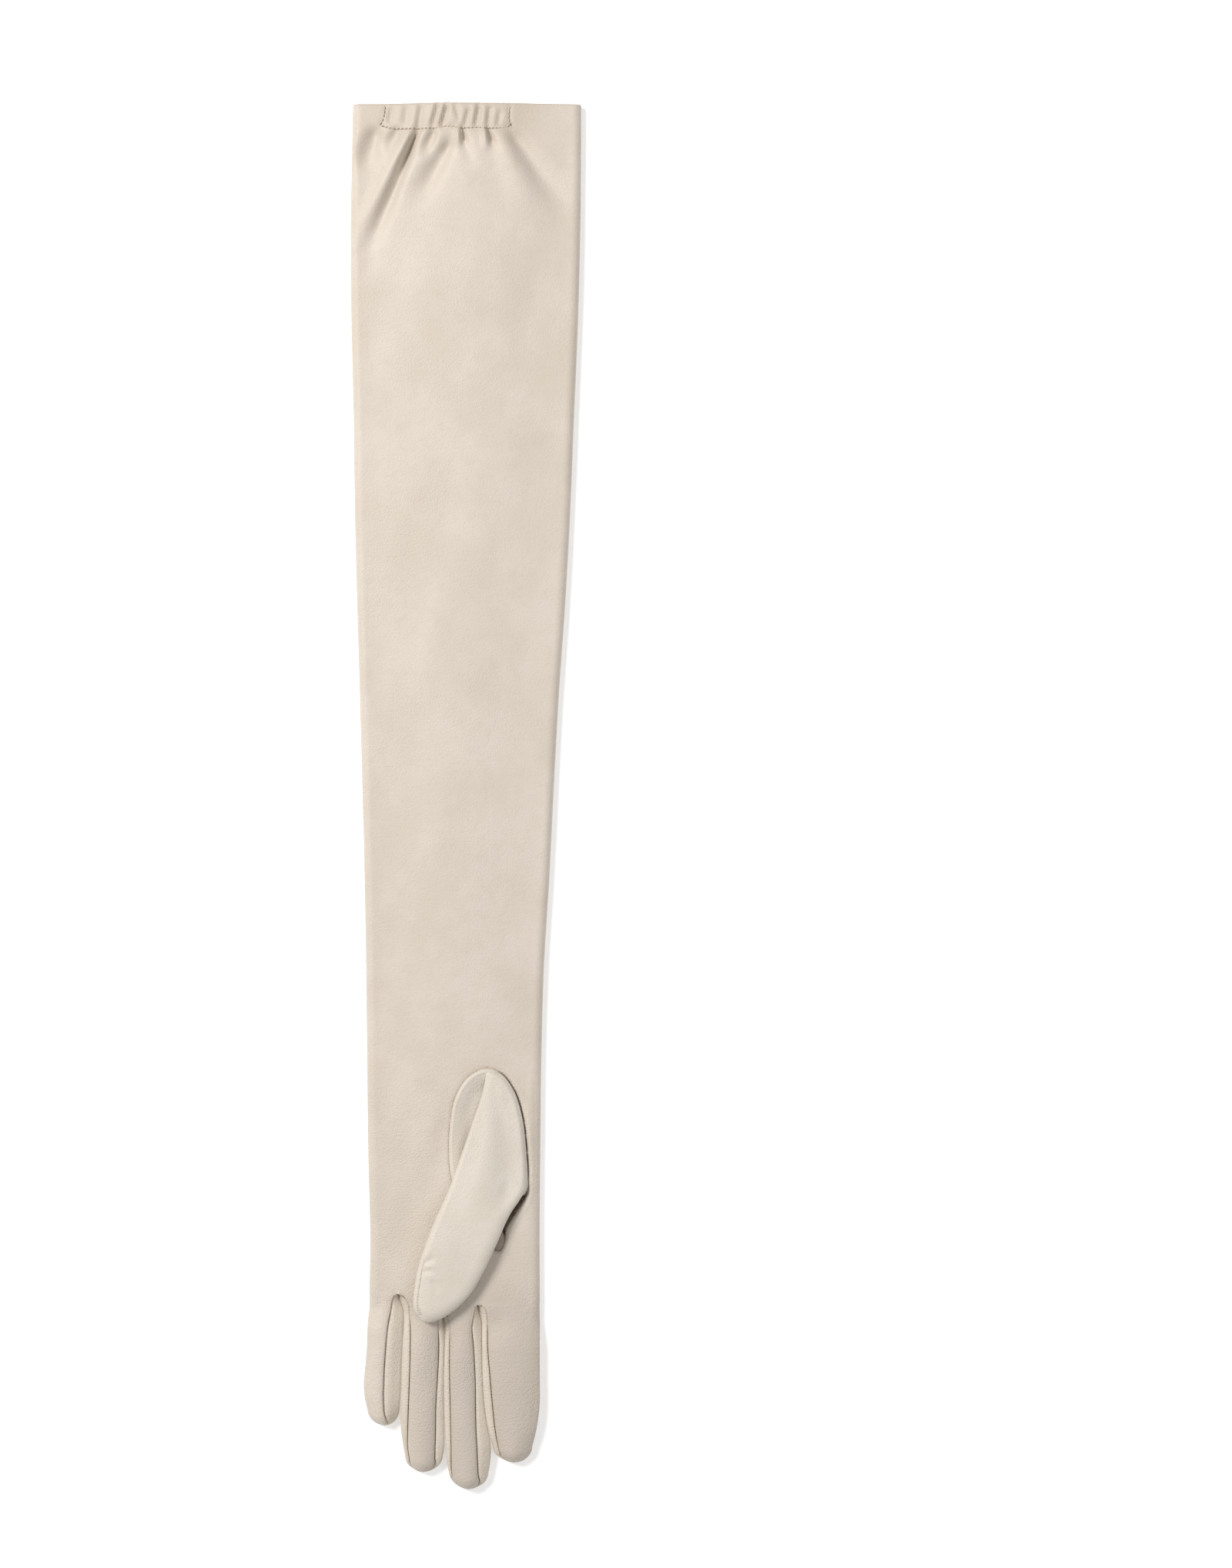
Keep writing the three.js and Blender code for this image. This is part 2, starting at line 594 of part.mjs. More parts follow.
// The two fourchettes between neighbouring fingers share a slit, which runs from the crotch to the
// fingertips. A slit gives the plan outlines of its two sides: each goes from the crotch down its finger's
// seam to where the seam meets the finger's edge, and back up between the fingers.
function slit(leftFinger, rightFinger) {
  const edgeOf = (finger, column) => {
    const at = reader(finger.rows, 'along', [column]);
    const axisX = palmLeft + finger.axis * palmWidth;
    return (distance) => {
      const along = THREE.MathUtils.clamp(distance / finger.reach, finger.rows[0].along, 1);
      return axisX + at(along)[column] * finger.breadth * palmWidth;
    };
  };
  const leftSeam = edgeOf(leftFinger, 'seamRight');
  const rightSeam = edgeOf(rightFinger, 'seamLeft');
  const leftEdge = edgeOf(leftFinger, 'right');
  const rightEdge = edgeOf(rightFinger, 'left');
  const tipShare = 0.9;
  const limit = Math.min(leftFinger.reach, rightFinger.reach) * tipShare;
  const between = (distance) => {
    const place = Math.min(distance, limit);
    return (leftEdge(place) + rightEdge(place)) / 2;
  };
  const crotchX = between(0);
  const crotchY = knuckleY + knuckleDip(crotchX) + crotchRise;
  const side = (finger, seam, edge, direction) => {
    const top = new THREE.Vector2(crotchX + (direction * seamGap) / 2, crotchY);
    const shoulderX = THREE.MathUtils.lerp(crotchX, seam(0), 0.75);
    const shoulder = new THREE.Vector2(shoulderX, crotchY - crotchRise * 0.5);
    const distances = finger.rows
      .map(({ along }) => along * finger.reach)
      .filter((distance) => distance > knuckleY - crotchY + crotchRise * 1.4);
    const meets = (distance) => (seam(distance) - edge(distance)) * direction < seamGap;
    const meeting = distances.findIndex(meets);
    const last = distances[meeting];
    const tip = new THREE.Vector2(edge(last) - direction * seamGap, knuckleY - last);
    const along = distances.slice(0, meeting);
    const seamWay = along.map((distance) => new THREE.Vector2(seam(distance), knuckleY - distance));
    const middleWay = along.map((distance) => {
      const beyond = distance > limit && finger.reach * tipShare > limit;
      const x = beyond ? edge(distance) - direction * fingerDepth * 0.2 : between(distance);
      return new THREE.Vector2(x + (direction * seamGap) / 2, knuckleY - distance);
    });
    return [top, shoulder, ...seamWay, tip, ...middleWay.reverse()];
  };
  return {
    leftSide: side(leftFinger, leftSeam, leftEdge, -1),
    rightSide: side(rightFinger, rightSeam, rightEdge, 1),
  };
}

const floorCut = -1;
const skyCut = 60;
const hollowMiddle = foldedEdge / 2;

const skin = armBody(0, false);
const hollow = armBody(wall, true);
let glove = skin;
let inside = hollow;
for (const finger of fingers) {
  glove = glove.add(fingerBody(finger, 0));
  inside = inside.add(fingerBody(finger, wall));
}
const shell = glove.subtract(inside);

const hole = smoothOutline(thumbPlan(holeOutline), holeSteps);
const quirkPlan = thumbPlan(quirkOutline);

function makeFourchettes() {
  const names = ['little_finger_fourchette', 'ring_finger_outer_fourchette', 'ring_finger_inner_fourchette',
    'middle_finger_outer_fourchette', 'middle_finger_inner_fourchette', 'index_finger_fourchette'];
  const pieces = [];
  for (let i = 0; i + 1 < fingers.length; i++) {
    const { leftSide, rightSide } = slit(fingers[i], fingers[i + 1]);
    pieces.push({ name: names[2 * i], outline: leftSide });
    pieces.push({ name: names[2 * i + 1], outline: rightSide });
  }
  return pieces;
}

function makeTrank(fourchettes) {
  let trank = shell.subtract(prism(hole, hollowMiddle, skyCut));
  for (const { outline } of fourchettes) {
    trank = trank.subtract(prism(grow(outline, seamGap), floorCut, skyCut));
  }
  return trank;
}

// The thumb's section stands on the palm's skin, so it follows the palm's crown.
function thumbBody(inset, from, to) {
  const rows = thumbTable.filter(({ along }) => along >= from && along <= to);
  return loft(rows.map(({ along, left, right, full }) => {
    const height = thumbDepth * full - 2 * inset;
    const shape = {
      left: thumbRootX + left * thumbWidth + inset,
      right: thumbRootX + right * thumbWidth - inset,
      low: thumbHover + inset,
      shoulder: thumbHover + inset + height * thumbShoulder,
      high: thumbHover + inset + height,
    };
    const y = thumbRootY - along * thumbSpan;
    return section(shape, thumbSteps).map(({ x, z, turn }) => ({ x, y, z: z + skinHeight(x, y), turn }));
  }));
}

function makeQuirk() {
  const opening = prism(grow(hole, -seamGap), hollowMiddle, skyCut);
  const plan = opening.intersect(prism(quirkPlan, floorCut, skyCut));
  return armBody(-quirkRise, false).subtract(hollow).intersect(plan);
}

function makeThumb() {
  const plan = prism(grow(hole, -seamGap), hollowMiddle, skyCut);
  const apron = armBody(-apronRise, false).subtract(hollow).intersect(plan);
  const tube = thumbBody(0, 0, 1);
  const tubeHollow = thumbBody(wall, 0.13, 0.98);
  const passage = prism(thumbPlan(passageOutline), hollowMiddle, sleeveDepth + thumbHover + 2 * wall);
  return apron.subtract(prism(grow(quirkPlan, seamGap), floorCut, skyCut))
    .add(tube).subtract(tubeHollow).subtract(passage);
}

function makeElasticCasing() {
  const outer = armBody(wall + seamGap, true);
  const inner = armBody(wall + seamGap + casingWall, true);
  const left = casingShift - casingWidth / 2;
  const plan = [
    new THREE.Vector2(left, cuffY - casingHem - casingDrop),
    new THREE.Vector2(left + casingWidth, cuffY - casingHem - casingDrop),
    new THREE.Vector2(left + casingWidth, cuffY - casingHem),
    new THREE.Vector2(left, cuffY - casingHem),
  ];
  return outer.subtract(inner).intersect(prism(plan, hollowMiddle, skyCut));
}

function leather(colour) {
  return new THREE.MeshStandardMaterial({ color: colour, roughness: 0.52, metalness: 0 });
}

const trankLeather = leather('#ddd1c0');
const fourchetteLeather = leather('#d6c9b6');
const thumbLeather = leather('#dfd4c5');
const quirkLeather = leather('#cbbca6');
const casingLeather = leather('#d2c5b1');

const root = new THREE.Group();

function addPiece(name, solid, material) {
  const mesh = new THREE.Mesh(toGeometry(solid), material);
  mesh.name = name;
  root.add(mesh);
}

const fourchettes = makeFourchettes();
addPiece('trank', makeTrank(fourchettes), trankLeather);
for (const { name, outline } of fourchettes) {
  addPiece(name, shell.intersect(prism(outline, floorCut, skyCut)), fourchetteLeather);
}
addPiece('thumb', makeThumb(), thumbLeather);
addPiece('thumb_quirk', makeQuirk(), quirkLeather);
addPiece('elastic_casing', makeElasticCasing(), casingLeather);

export default root;
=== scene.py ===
"""Leather, seams, stitches and studio for a long glove that lies palm up on a table."""

import math
from typing import NamedTuple

import bmesh
import bpy
import numpy as np
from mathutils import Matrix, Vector


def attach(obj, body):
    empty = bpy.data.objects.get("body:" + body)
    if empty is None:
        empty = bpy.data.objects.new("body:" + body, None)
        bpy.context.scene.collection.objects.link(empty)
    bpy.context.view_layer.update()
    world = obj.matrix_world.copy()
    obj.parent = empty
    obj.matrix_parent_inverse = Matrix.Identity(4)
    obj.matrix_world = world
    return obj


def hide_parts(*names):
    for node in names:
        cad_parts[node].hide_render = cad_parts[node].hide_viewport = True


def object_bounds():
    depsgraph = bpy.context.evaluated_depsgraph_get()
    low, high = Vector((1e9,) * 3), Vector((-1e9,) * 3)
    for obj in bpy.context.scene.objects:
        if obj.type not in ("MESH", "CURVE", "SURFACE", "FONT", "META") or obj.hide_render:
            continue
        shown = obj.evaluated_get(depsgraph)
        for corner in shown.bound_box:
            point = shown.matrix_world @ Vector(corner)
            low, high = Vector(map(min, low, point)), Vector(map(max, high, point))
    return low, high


bl_info = {
    "name": "Long leather glove",
    "version": (1, 0, 0),
    "blender": (4, 5, 0),
    "location": "View3D > Sidebar > Glove",
    "description": "Dresses the solids of a long leather glove in sewn leather",
    "category": "Object",
}

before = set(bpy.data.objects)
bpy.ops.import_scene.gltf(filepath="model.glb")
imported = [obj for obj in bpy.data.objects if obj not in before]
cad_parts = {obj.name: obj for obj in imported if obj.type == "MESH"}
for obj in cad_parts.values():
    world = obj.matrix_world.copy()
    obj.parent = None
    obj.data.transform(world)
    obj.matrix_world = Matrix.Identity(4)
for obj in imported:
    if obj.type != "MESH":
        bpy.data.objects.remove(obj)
CAD_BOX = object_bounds()
CUFF_Y = CAD_BOX[1][1]
MM = 0.001


def hermite(values, slopes, places, at):
    """Values of a smooth curve at any places, from its values and slopes at known ones."""
    i = np.clip(np.searchsorted(places, at) - 1, 0, len(places) - 2)
    span = places[i + 1] - places[i]
    t = (at - places[i]) / span
    if values.ndim > 1:
        span, t = span[:, None], t[:, None]
    return (
        values[i] * (1 + 2 * t) * (1 - t) ** 2
        + slopes[i] * span * t * (1 - t) ** 2
        + values[i + 1] * t**2 * (3 - 2 * t)
        + slopes[i + 1] * span * t**2 * (t - 1)
    )


class Table:
    """Rows under named columns, read smoothly along the first column."""

    def __init__(self, columns, *rows):
        self.columns = dict(zip(columns.split(), np.array(rows, float).T))
        self.places = next(iter(self.columns.values()))

    def read(self, column, at):
        """A column's value at a place, level beyond the first and the last row."""
        values = self.columns[column]
        slopes = np.gradient(values, self.places)
        return hermite(values, slopes, self.places, np.clip(at, self.places[0], self.places[-1]))


# Sleeve from the cuff to the knuckles. flare goes from the palm's width at 0 to the cuff's at 1, and lean
# is the middle's offset as a share of the palm's width.
SLEEVE = Table(
    "along flare lean",
    (0.0, 1.0, 0.005),
    (0.03, 1.01, 0.003),
    (0.106, 1.02, -0.004),
    (0.183, 0.968, -0.009),
    (0.26, 0.864, -0.014),
    (0.338, 0.779, -0.021),
    (0.415, 0.656, -0.029),
    (0.492, 0.5, -0.04),
    (0.569, 0.37, -0.0475),
    (0.646, 0.253, -0.054),
    (0.724, 0.13, -0.066),
    (0.8, 0.069, -0.07),
    (0.878, 0.032, -0.07),
    (0.955, -0.013, -0.066),
    (1.0, 0.006, -0.0675),
)

# The slits' ends between the fingers, and the palm's two edges: across is a share of the palm's width
# from its left edge, and drop how far the place lies beyond the knuckles, as a share of the same.
CROTCHES = Table(
    "across drop",
    (0.0, -0.04),
    (0.17, -0.037),
    (0.429, 0.079),
    (0.634, 0.025),
    (1.0, 0.012),
)

# Fingers from the knuckles to the tips. left and right are the edges, seam_left and seam_right the
# fourchettes' seams, from the finger's axis as shares of its breadth.
LITTLE = Table(
    "along left right seam_left seam_right",
    (0.06, -0.46, 0.505, -0.3, 0.2),
    (0.18, -0.5, 0.5, -0.33, 0.11),
    (0.37, -0.52, 0.478, -0.35, 0.033),
    (0.55, -0.576, 0.452, -0.4, -0.011),
    (0.67, -0.609, 0.438, -0.43, -0.022),
    (0.795, -0.565, 0.413, -0.4, -0.043),
    (0.887, -0.478, 0.37, -0.33, 0.0),
    (0.948, -0.348, 0.239, -0.22, 0.055),
    (0.98, -0.239, 0.13, -0.16, 0.075),
    (1.0, -0.06, 0.05, -0.03, 0.05),
)
RING = Table(
    "along left right seam_left seam_right",
    (0.05, -0.455, 0.51, -0.36, 0.42),
    (0.13, -0.462, 0.508, -0.319, 0.393),
    (0.27, -0.48, 0.5, -0.31, 0.402),
    (0.44, -0.502, 0.488, -0.328, 0.375),
    (0.62, -0.514, 0.49, -0.355, 0.33),
    (0.76, -0.508, 0.5, -0.373, 0.321),
    (0.845, -0.463, 0.5, -0.382, 0.312),
    (0.91, -0.418, 0.45, -0.35, 0.31),
    (0.956, -0.355, 0.348, -0.31, 0.3),
    (0.982, -0.229, 0.204, -0.229, 0.204),
    (1.0, -0.04, 0.03, -0.04, 0.03),
)
MIDDLE = Table(
    "along left right seam_left seam_right",
    (0.05, -0.482, 0.39, -0.42, 0.24),
    (0.12, -0.478, 0.403, -0.4, 0.204),
    (0.24, -0.49, 0.413, -0.398, 0.241),
    (0.4, -0.5, 0.425, -0.39, 0.278),
    (0.57, -0.492, 0.477, -0.37, 0.287),
    (0.69, -0.473, 0.567, -0.361, 0.296),
    (0.77, -0.455, 0.625, -0.352, 0.315),
    (0.85, -0.435, 0.611, -0.352, 0.333),
    (0.91, -0.389, 0.565, -0.343, 0.348),
    (0.97, -0.259, 0.44, -0.25, 0.36),
    (0.988, -0.111, 0.296, -0.111, 0.296),
    (1.0, 0.055, 0.13, 0.055, 0.13),
)
INDEX = Table(
    "along left right seam_left seam_right",
    (0.05, -0.533, 0.5, -0.47, 0.38),
    (0.14, -0.529, 0.505, -0.448, 0.38),
    (0.28, -0.522, 0.505, -0.435, 0.38),
    (0.47, -0.514, 0.505, -0.388, 0.38),
    (0.66, -0.474, 0.5, -0.34, 0.37),
    (0.8, -0.408, 0.441, -0.299, 0.32),
    (0.87, -0.353, 0.393, -0.271, 0.27),
    (0.94, -0.271, 0.325, -0.225, 0.2),
    (0.98, -0.155, 0.242, -0.155, 0.14),
    (1.0, 0.02, 0.08, 0.02, 0.06),
)


class Finger(NamedTuple):
    """A finger's size property and outline, and the nodes of the fourchettes at its two sides.

    axis and breadth are shares of the palm's width, over and under the columns of skin above and below.
    """

    reach: str
    axis: float
    breadth: float
    table: Table
    over: int
    under: int
    outer: str | None
    inner: str | None


FINGERS = [
    Finger("little_reach", 0.095, 0.208, LITTLE, 20, 8, None, "little_finger_fourchette"),
    Finger(
        "ring_reach", 0.3154, 0.251, RING, 26, 10,
        "ring_finger_outer_fourchette", "ring_finger_inner_fourchette",
    ),
    Finger(
        "middle_reach", 0.561, 0.244, MIDDLE, 24, 10,
        "middle_finger_outer_fourchette", "middle_finger_inner_fourchette",
    ),
    Finger("index_reach", 0.834, 0.33, INDEX, 34, 14, "index_finger_fourchette", None),
]
# Columns of skin at each side of a ring, above and below its widest place.
SIDE_UP = 7
SIDE_LOW = 4
OVER = [finger.over for finger in FINGERS]
UNDER = [finger.under for finger in FINGERS]
# Rows of skin in the gathers, the sleeve, beside the thumb's hole and down to the knuckles.
GATHER_ROWS = 60
SLEEVE_ROWS = 40
HOLE_ROWS = 104
KNUCKLE_ROWS = 20
# Shape of a folded edge, in shares of its thickness: height of its outermost line, and how far its
# rounding reaches in above and below that line.
EDGE_LINE = 0.46
ROUND_UP = 0.55
ROUND_LOW = 0.45
# Pull of the columns towards seams, and the reach of a seam's field.
SEAM_PULL = 1.4
SEAM_REACH = 6 * MM
# How far above the knuckles the columns begin to turn towards the fingers' seams.
KNUCKLE_REACH = 45 * MM
# How far before its end a fingertip begins to close.
TIP_ARC = 8 * MM
# Points this near to each other are one.
SAME_PLACE = 0.002 * MM
# Points whose distances are measured at once.
BATCH = 4000
# The skin's points this near the thumb's hole are moved onto its edge.
HOLE_SNAP = 0.46 * MM
# The seam line round the hole is wider than the others by this much at each side.
RIM_LINE = 0.42 * MM
# The stall is open into the palm between these shares of its length.
STALL_OPEN = (0.12, 0.46)
# Distance of the back's closing seam from the little finger's edge.
BACK_SEAM_INSET = 3.8 * MM
# How far the thumb lies above the palm, how deep the quirk's rim lies and how far its middle rises.
THUMB_HOVER = 0.4 * MM
QUIRK_SUNK = 2.2 * MM
QUIRK_RISE = 1.3 * MM
# Floor's width and own glow, a painted light that washes out the shadows cast on it, the studio's strength,
# the lamps' watts, and what the camera frames.
FLOOR_SIZE = 40.0
FLOOR_GLOW = 0.37
STUDIO_GLOW = 0.418
KEY_POWER = 41.3
FILL_POWER = 6
FRAME_HEIGHT = 0.7344
FRAME_MIDDLE = (0.0704, 0.0062)

# Folds of the leather. Each runs from x0, y0 to x1, y1, which are shares of the sizes that it goes with,
# and y counts down the glove. depth is a share of the deepest fold, width a share like x, and ridge the
# raised lip beside the fold. At the cuff, x is from the casing's middle and y from the cuff's edge.
FOLD_COLUMNS = "x0 y0 x1 y1 depth width ridge"
CUFF_FOLDS = Table(
    FOLD_COLUMNS,
    (-0.532, 0.17, -0.66, 0.5, 0.95, 0.05, 0.3),
    (-0.37, 0.175, -0.467, 0.32, 0.55, 0.026, 0.4),
    (-0.225, 0.19, -0.61, 1.0, 1.25, 0.027, 0.5),
    (-0.22, 0.18, -0.4, 0.5, 0.6, 0.012, 0.3),
    (-0.09, 0.18, -0.175, 0.36, 0.75, 0.024, 0.4),
    (0.03, 0.25, -0.24, 0.68, 0.9, 0.042, 0.3),
    (0.028, 0.27, -0.02, 0.35, 0.3, 0.015, 0.3),
    (0.119, 0.165, 0.142, 0.29, 1.0, 0.013, 0.6),
    (0.142, 0.27, 0.22, 0.44, 0.26, 0.03, 0.2),
    (0.312, 0.165, 0.362, 0.3, 1.0, 0.013, 0.6),
    (0.482, 0.18, 0.92, 0.72, 0.8, 0.05, 0.4),
    (0.22, 0.22, 0.24, 0.6, -0.2, 0.06, 0.0),
    (0.46, 0.25, 0.62, 0.9, -0.28, 0.08, 0.0),
)
CASING_GATHERS = Table(
    FOLD_COLUMNS,
    (-0.42, 0.03, -0.438, 0.12, 0.32, 0.018, 0.3),
    (-0.3, 0.02, -0.318, 0.13, 0.22, 0.024, 0.3),
    (-0.19, 0.015, -0.215, 0.147, 0.38, 0.02, 0.35),
    (-0.06, 0.01, -0.104, 0.147, 0.62, 0.018, 0.4),
    (0.004, 0.015, -0.039, 0.152, 0.75, 0.017, 0.4),
    (0.066, 0.005, 0.1, 0.11, 0.25, 0.018, 0.3),
    (0.174, 0.045, 0.142, 0.147, 0.42, 0.018, 0.4),
    (0.25, 0.02, 0.224, 0.147, 0.58, 0.018, 0.4),
    (0.332, 0.03, 0.318, 0.147, 0.5, 0.018, 0.4),
    (0.412, 0.055, 0.389, 0.147, 0.3, 0.018, 0.3),
)
# About the top of the thumb's hole, in shares of the thumb's width and span.
PALM_FOLDS = Table(
    FOLD_COLUMNS,
    (-0.55, 0.2, -0.7, 0.55, 0.26, 0.1, 0.2),
    (0.655, 0.05, 0.665, 0.85, 0.11, 0.035, 0.7),
    (-0.36, 0.78, -0.75, 1.06, 0.14, 0.06, 0.3),
    (-1.05, 0.3, -1.0, 0.95, 0.14, 0.12, 0.0),
)
THUMB_CREASES = Table(
    FOLD_COLUMNS,
    (0.12, 0.05, 0.14, 0.22, 0.14, 0.055, 0.2),
    (0.2, 0.16, 0.26, 0.5, 0.12, 0.08, 0.2),
    (0.3, 0.44, 0.2, 0.56, 0.12, 0.06, 0.2),
    (-0.81, 0.76, -0.68, 0.74, 0.24, 0.025, 0.4),
    (-0.83, 0.795, -0.7, 0.79, 0.18, 0.022, 0.4),
    (-0.72, 0.83, -0.6, 0.87, 0.12, 0.03, 0.3),
)
# The casing's two ends and its lower side, in shares of its width from its middle and of its drop.
CASING_SEAMS = [
    [(-0.467, 0.1), (-0.474, 0.4), (-0.485, 0.67), (-0.508, 0.9)],
    [
        (-0.508, 0.9), (-0.432, 1.03), (-0.35, 1.07), (-0.233, 1.08), (-0.115, 1.07), (-0.022, 1.0),
        (0.04, 1.0), (0.119, 1.05), (0.236, 1.03), (0.353, 1.07), (0.494, 0.97),
    ],
    [(0.488, 0.12), (0.48, 0.4), (0.477, 0.6), (0.494, 0.97)],
]

# Plan of the thumb about the top of its hole, in shares of its width (x) and its span (y).
THUMB_HOLE = [
    (0.0, 0.0), (0.18, 0.014), (0.369, 0.082), (0.482, 0.186), (0.533, 0.308), (0.549, 0.43),
    (0.53, 0.5), (0.4, 0.565), (0.26, 0.635), (0.23, 0.69), (0.17, 0.722), (0.02, 0.69), (-0.2, 0.62),
    (-0.36, 0.52), (-0.46, 0.42), (-0.487, 0.32), (-0.47, 0.216), (-0.4, 0.11), (-0.2, 0.026),
]
THUMB_FOLD = [
    (0.0, 0.003), (-0.01, 0.035), (-0.045, 0.09), (-0.164, 0.19), (-0.303, 0.31), (-0.451, 0.43),
    (-0.564, 0.515), (-0.651, 0.573), (-0.79, 0.68), (-0.908, 0.787), (-0.945, 0.848), (-0.968, 0.89),
    (-0.978, 0.93), (-0.955, 0.965), (-0.88, 0.989),
]
THUMB_EDGE = [
    (0.0, 0.003), (0.18, 0.02), (0.355, 0.085), (0.468, 0.19), (0.52, 0.31), (0.537, 0.43), (0.525, 0.48),
    (0.462, 0.515), (0.328, 0.573), (0.154, 0.68), (-0.01, 0.787), (-0.215, 0.89), (-0.421, 0.951),
    (-0.62, 0.987), (-0.77, 1.0), (-0.88, 0.989),
]
QUIRK_LEAF = [
    (0.12, 0.6), (0.192, 0.638), (0.238, 0.672), (0.24, 0.702), (0.208, 0.719), (0.165, 0.727),
    (0.1, 0.712), (0.03, 0.665), (0.05, 0.61),
]
# Closing seam of the thumb's tip, in the same shares.
TIP_SEAM = [
    (-0.83, 0.752), (-0.865, 0.797), (-0.887, 0.843), (-0.91, 0.889), (-0.915, 0.93), (-0.87, 0.975),
]

# Thumb from the top of its hole to its tip: thick is its height over the palm as a share of its depth,
# and held how firmly its right edge is sewn down to the palm.
THUMB = Table(
    "along thick held",
    (0.0, 0.03, 1.0),
    (0.05, 0.1, 1.0),
    (0.12, 0.25, 1.0),
    (0.2, 0.42, 1.0),
    (0.3, 0.62, 1.0),
    (0.4, 0.78, 0.95),
    (0.46, 0.86, 0.6),
    (0.53, 0.92, 0.15),
    (0.62, 0.97, 0.0),
    (0.8, 1.0, 0.0),
    (1.0, 0.95, 0.0),
)


def ease(value, low=0.0, high=1.0):
    """Rises smoothly from 0 at low to 1 at high."""
    t = np.clip((value - low) / (high - low), 0, 1)
    return t * t * (3 - 2 * t)


def lerp(start, end, share):
    """A value between two others."""
    return start + (end - start) * share


def bulge(depth):
    """Height of a quarter circle of radius 1, at a depth of 0 to 1 from its edge."""
    return np.sqrt(np.clip(depth * (2 - depth), 0, 1))


def bell(value, width, power=2.0):
    """1 at 0, fading away at both sides over about a width."""
    return np.exp(-((value / width) ** power))


def closed_up(line):
    """A ring of points with its first one again at its end."""
    return np.vstack([line, line[:1]])


def pinched(ring):
    """A ring of points drawn together into its middle."""
    return np.repeat([ring.mean(axis=0)], len(ring), axis=0)


def spread(count, pull):
    """Places from 0 to 1 that crowd towards both ends as pull grows."""
    places = np.linspace(-1, 1, count + 1)
    if pull < 0.05:
        return (places + 1) / 2
    return (np.tanh(pull * places) / math.tanh(pull) + 1) / 2


def smooth_line(points, count, closed=False):
    """Points at even steps along a smooth curve through the given ones."""
    points = np.array(points, float)
    if closed:
        points = closed_up(points)
    steps = np.linalg.norm(np.diff(points, axis=0), axis=1)
    places = np.concatenate([[0], np.cumsum(steps)])
    size = places[-1]
    samples = 40 * len(points)
    if closed:
        body, at = points[:-1], places[:-1]
        points = np.vstack([body, body, body, body[:1]])
        places = np.concatenate([at - size, at, at + size, [2 * size]])
        samples = 40 * len(points) // 3
    slopes = np.gradient(points, places, axis=0)
    curve = hermite(points, slopes, places, np.linspace(0, size, samples))
    return along_line(curve, np.linspace(0, 1, count + 1))


def along_line(line, shares):
    """Points of a polyline at shares of its length."""
    steps = np.linalg.norm(np.diff(line, axis=0), axis=1)
    places = np.concatenate([[0], np.cumsum(steps)])
    return np.stack([np.interp(shares * places[-1], places, axis) for axis in line.T], axis=1)


def half_section(left, right, round_left, round_right, points=12):
    """Half of a section between its edges: x, and its height, from 0 at the edges to 1."""
    turn = np.linspace(0, math.pi / 2, points)
    flat = np.linspace(left + round_left, right - round_right, 4 * points)
    x = np.concatenate([
        left + round_left * (1 - np.cos(turn)),
        flat[1:-1],
        right - round_right * (1 - np.cos(turn[::-1])),
    ])
    rise = np.concatenate([np.sin(turn), np.ones(len(flat) - 2), np.sin(turn[::-1])])
    return x, rise


def crown(x, left, right, edge, power=2.0):
    """1 in the middle between two edges, falling gently to 0 at a distance edge from each."""
    half = np.maximum((right - left) / 2 - edge, 1e-6)
    across = np.clip((x - (left + right) / 2) / half, -1, 1)
    return (1 - across**2) ** power


def arc_lengths(x, z):
    """How far along a section's line each of its points lies."""
    return np.concatenate([[0], np.cumsum(np.hypot(np.diff(x), np.diff(z)))])


def along_section(x, z, places):
    """Points of a section's line at shares of its length."""
    arc = arc_lengths(x, z)
    return np.interp(places * arc[-1], arc, x), np.interp(places * arc[-1], arc, z)


def at_stations(x, z, stations, counts, pull):
    """Columns along a half section between stations, which are x places, without the last one."""
    arc = arc_lengths(x, z)
    order = np.argsort(x, kind="stable")
    marks = np.concatenate([[0], np.interp(stations, x[order], arc[order]), [arc[-1]]])
    places = [
        lerp(start, end, spread(count, pull)[:-1])
        for start, end, count in zip(marks[:-1], marks[1:], counts)
    ]
    places = np.concatenate(places)
    return np.interp(places, arc, x), np.interp(places, arc, z)


def join_halves(up, low, right, middle):
    """A closed section from its upper and its lower half, which meet at the right edge."""
    return np.concatenate([up[0], [right], low[0][:0:-1]]), np.concatenate([up[1], [middle], low[1][:0:-1]])


def swell(x, y, seed, height, length):
    """Soft waves of the leather, made of a few sines with directions drawn from a seed."""
    draw = np.random.default_rng(seed)
    total = np.zeros(np.shape(x))
    for _ in range(9):
        angle = draw.uniform(0, math.pi)
        wave = draw.uniform(0.7, 1.6) * length
        phase = draw.uniform(0, 2 * math.pi)
        total += np.sin(2 * math.pi * (x * math.cos(angle) + y * math.sin(angle) * 0.6) / wave + phase)
    return height * total / 3


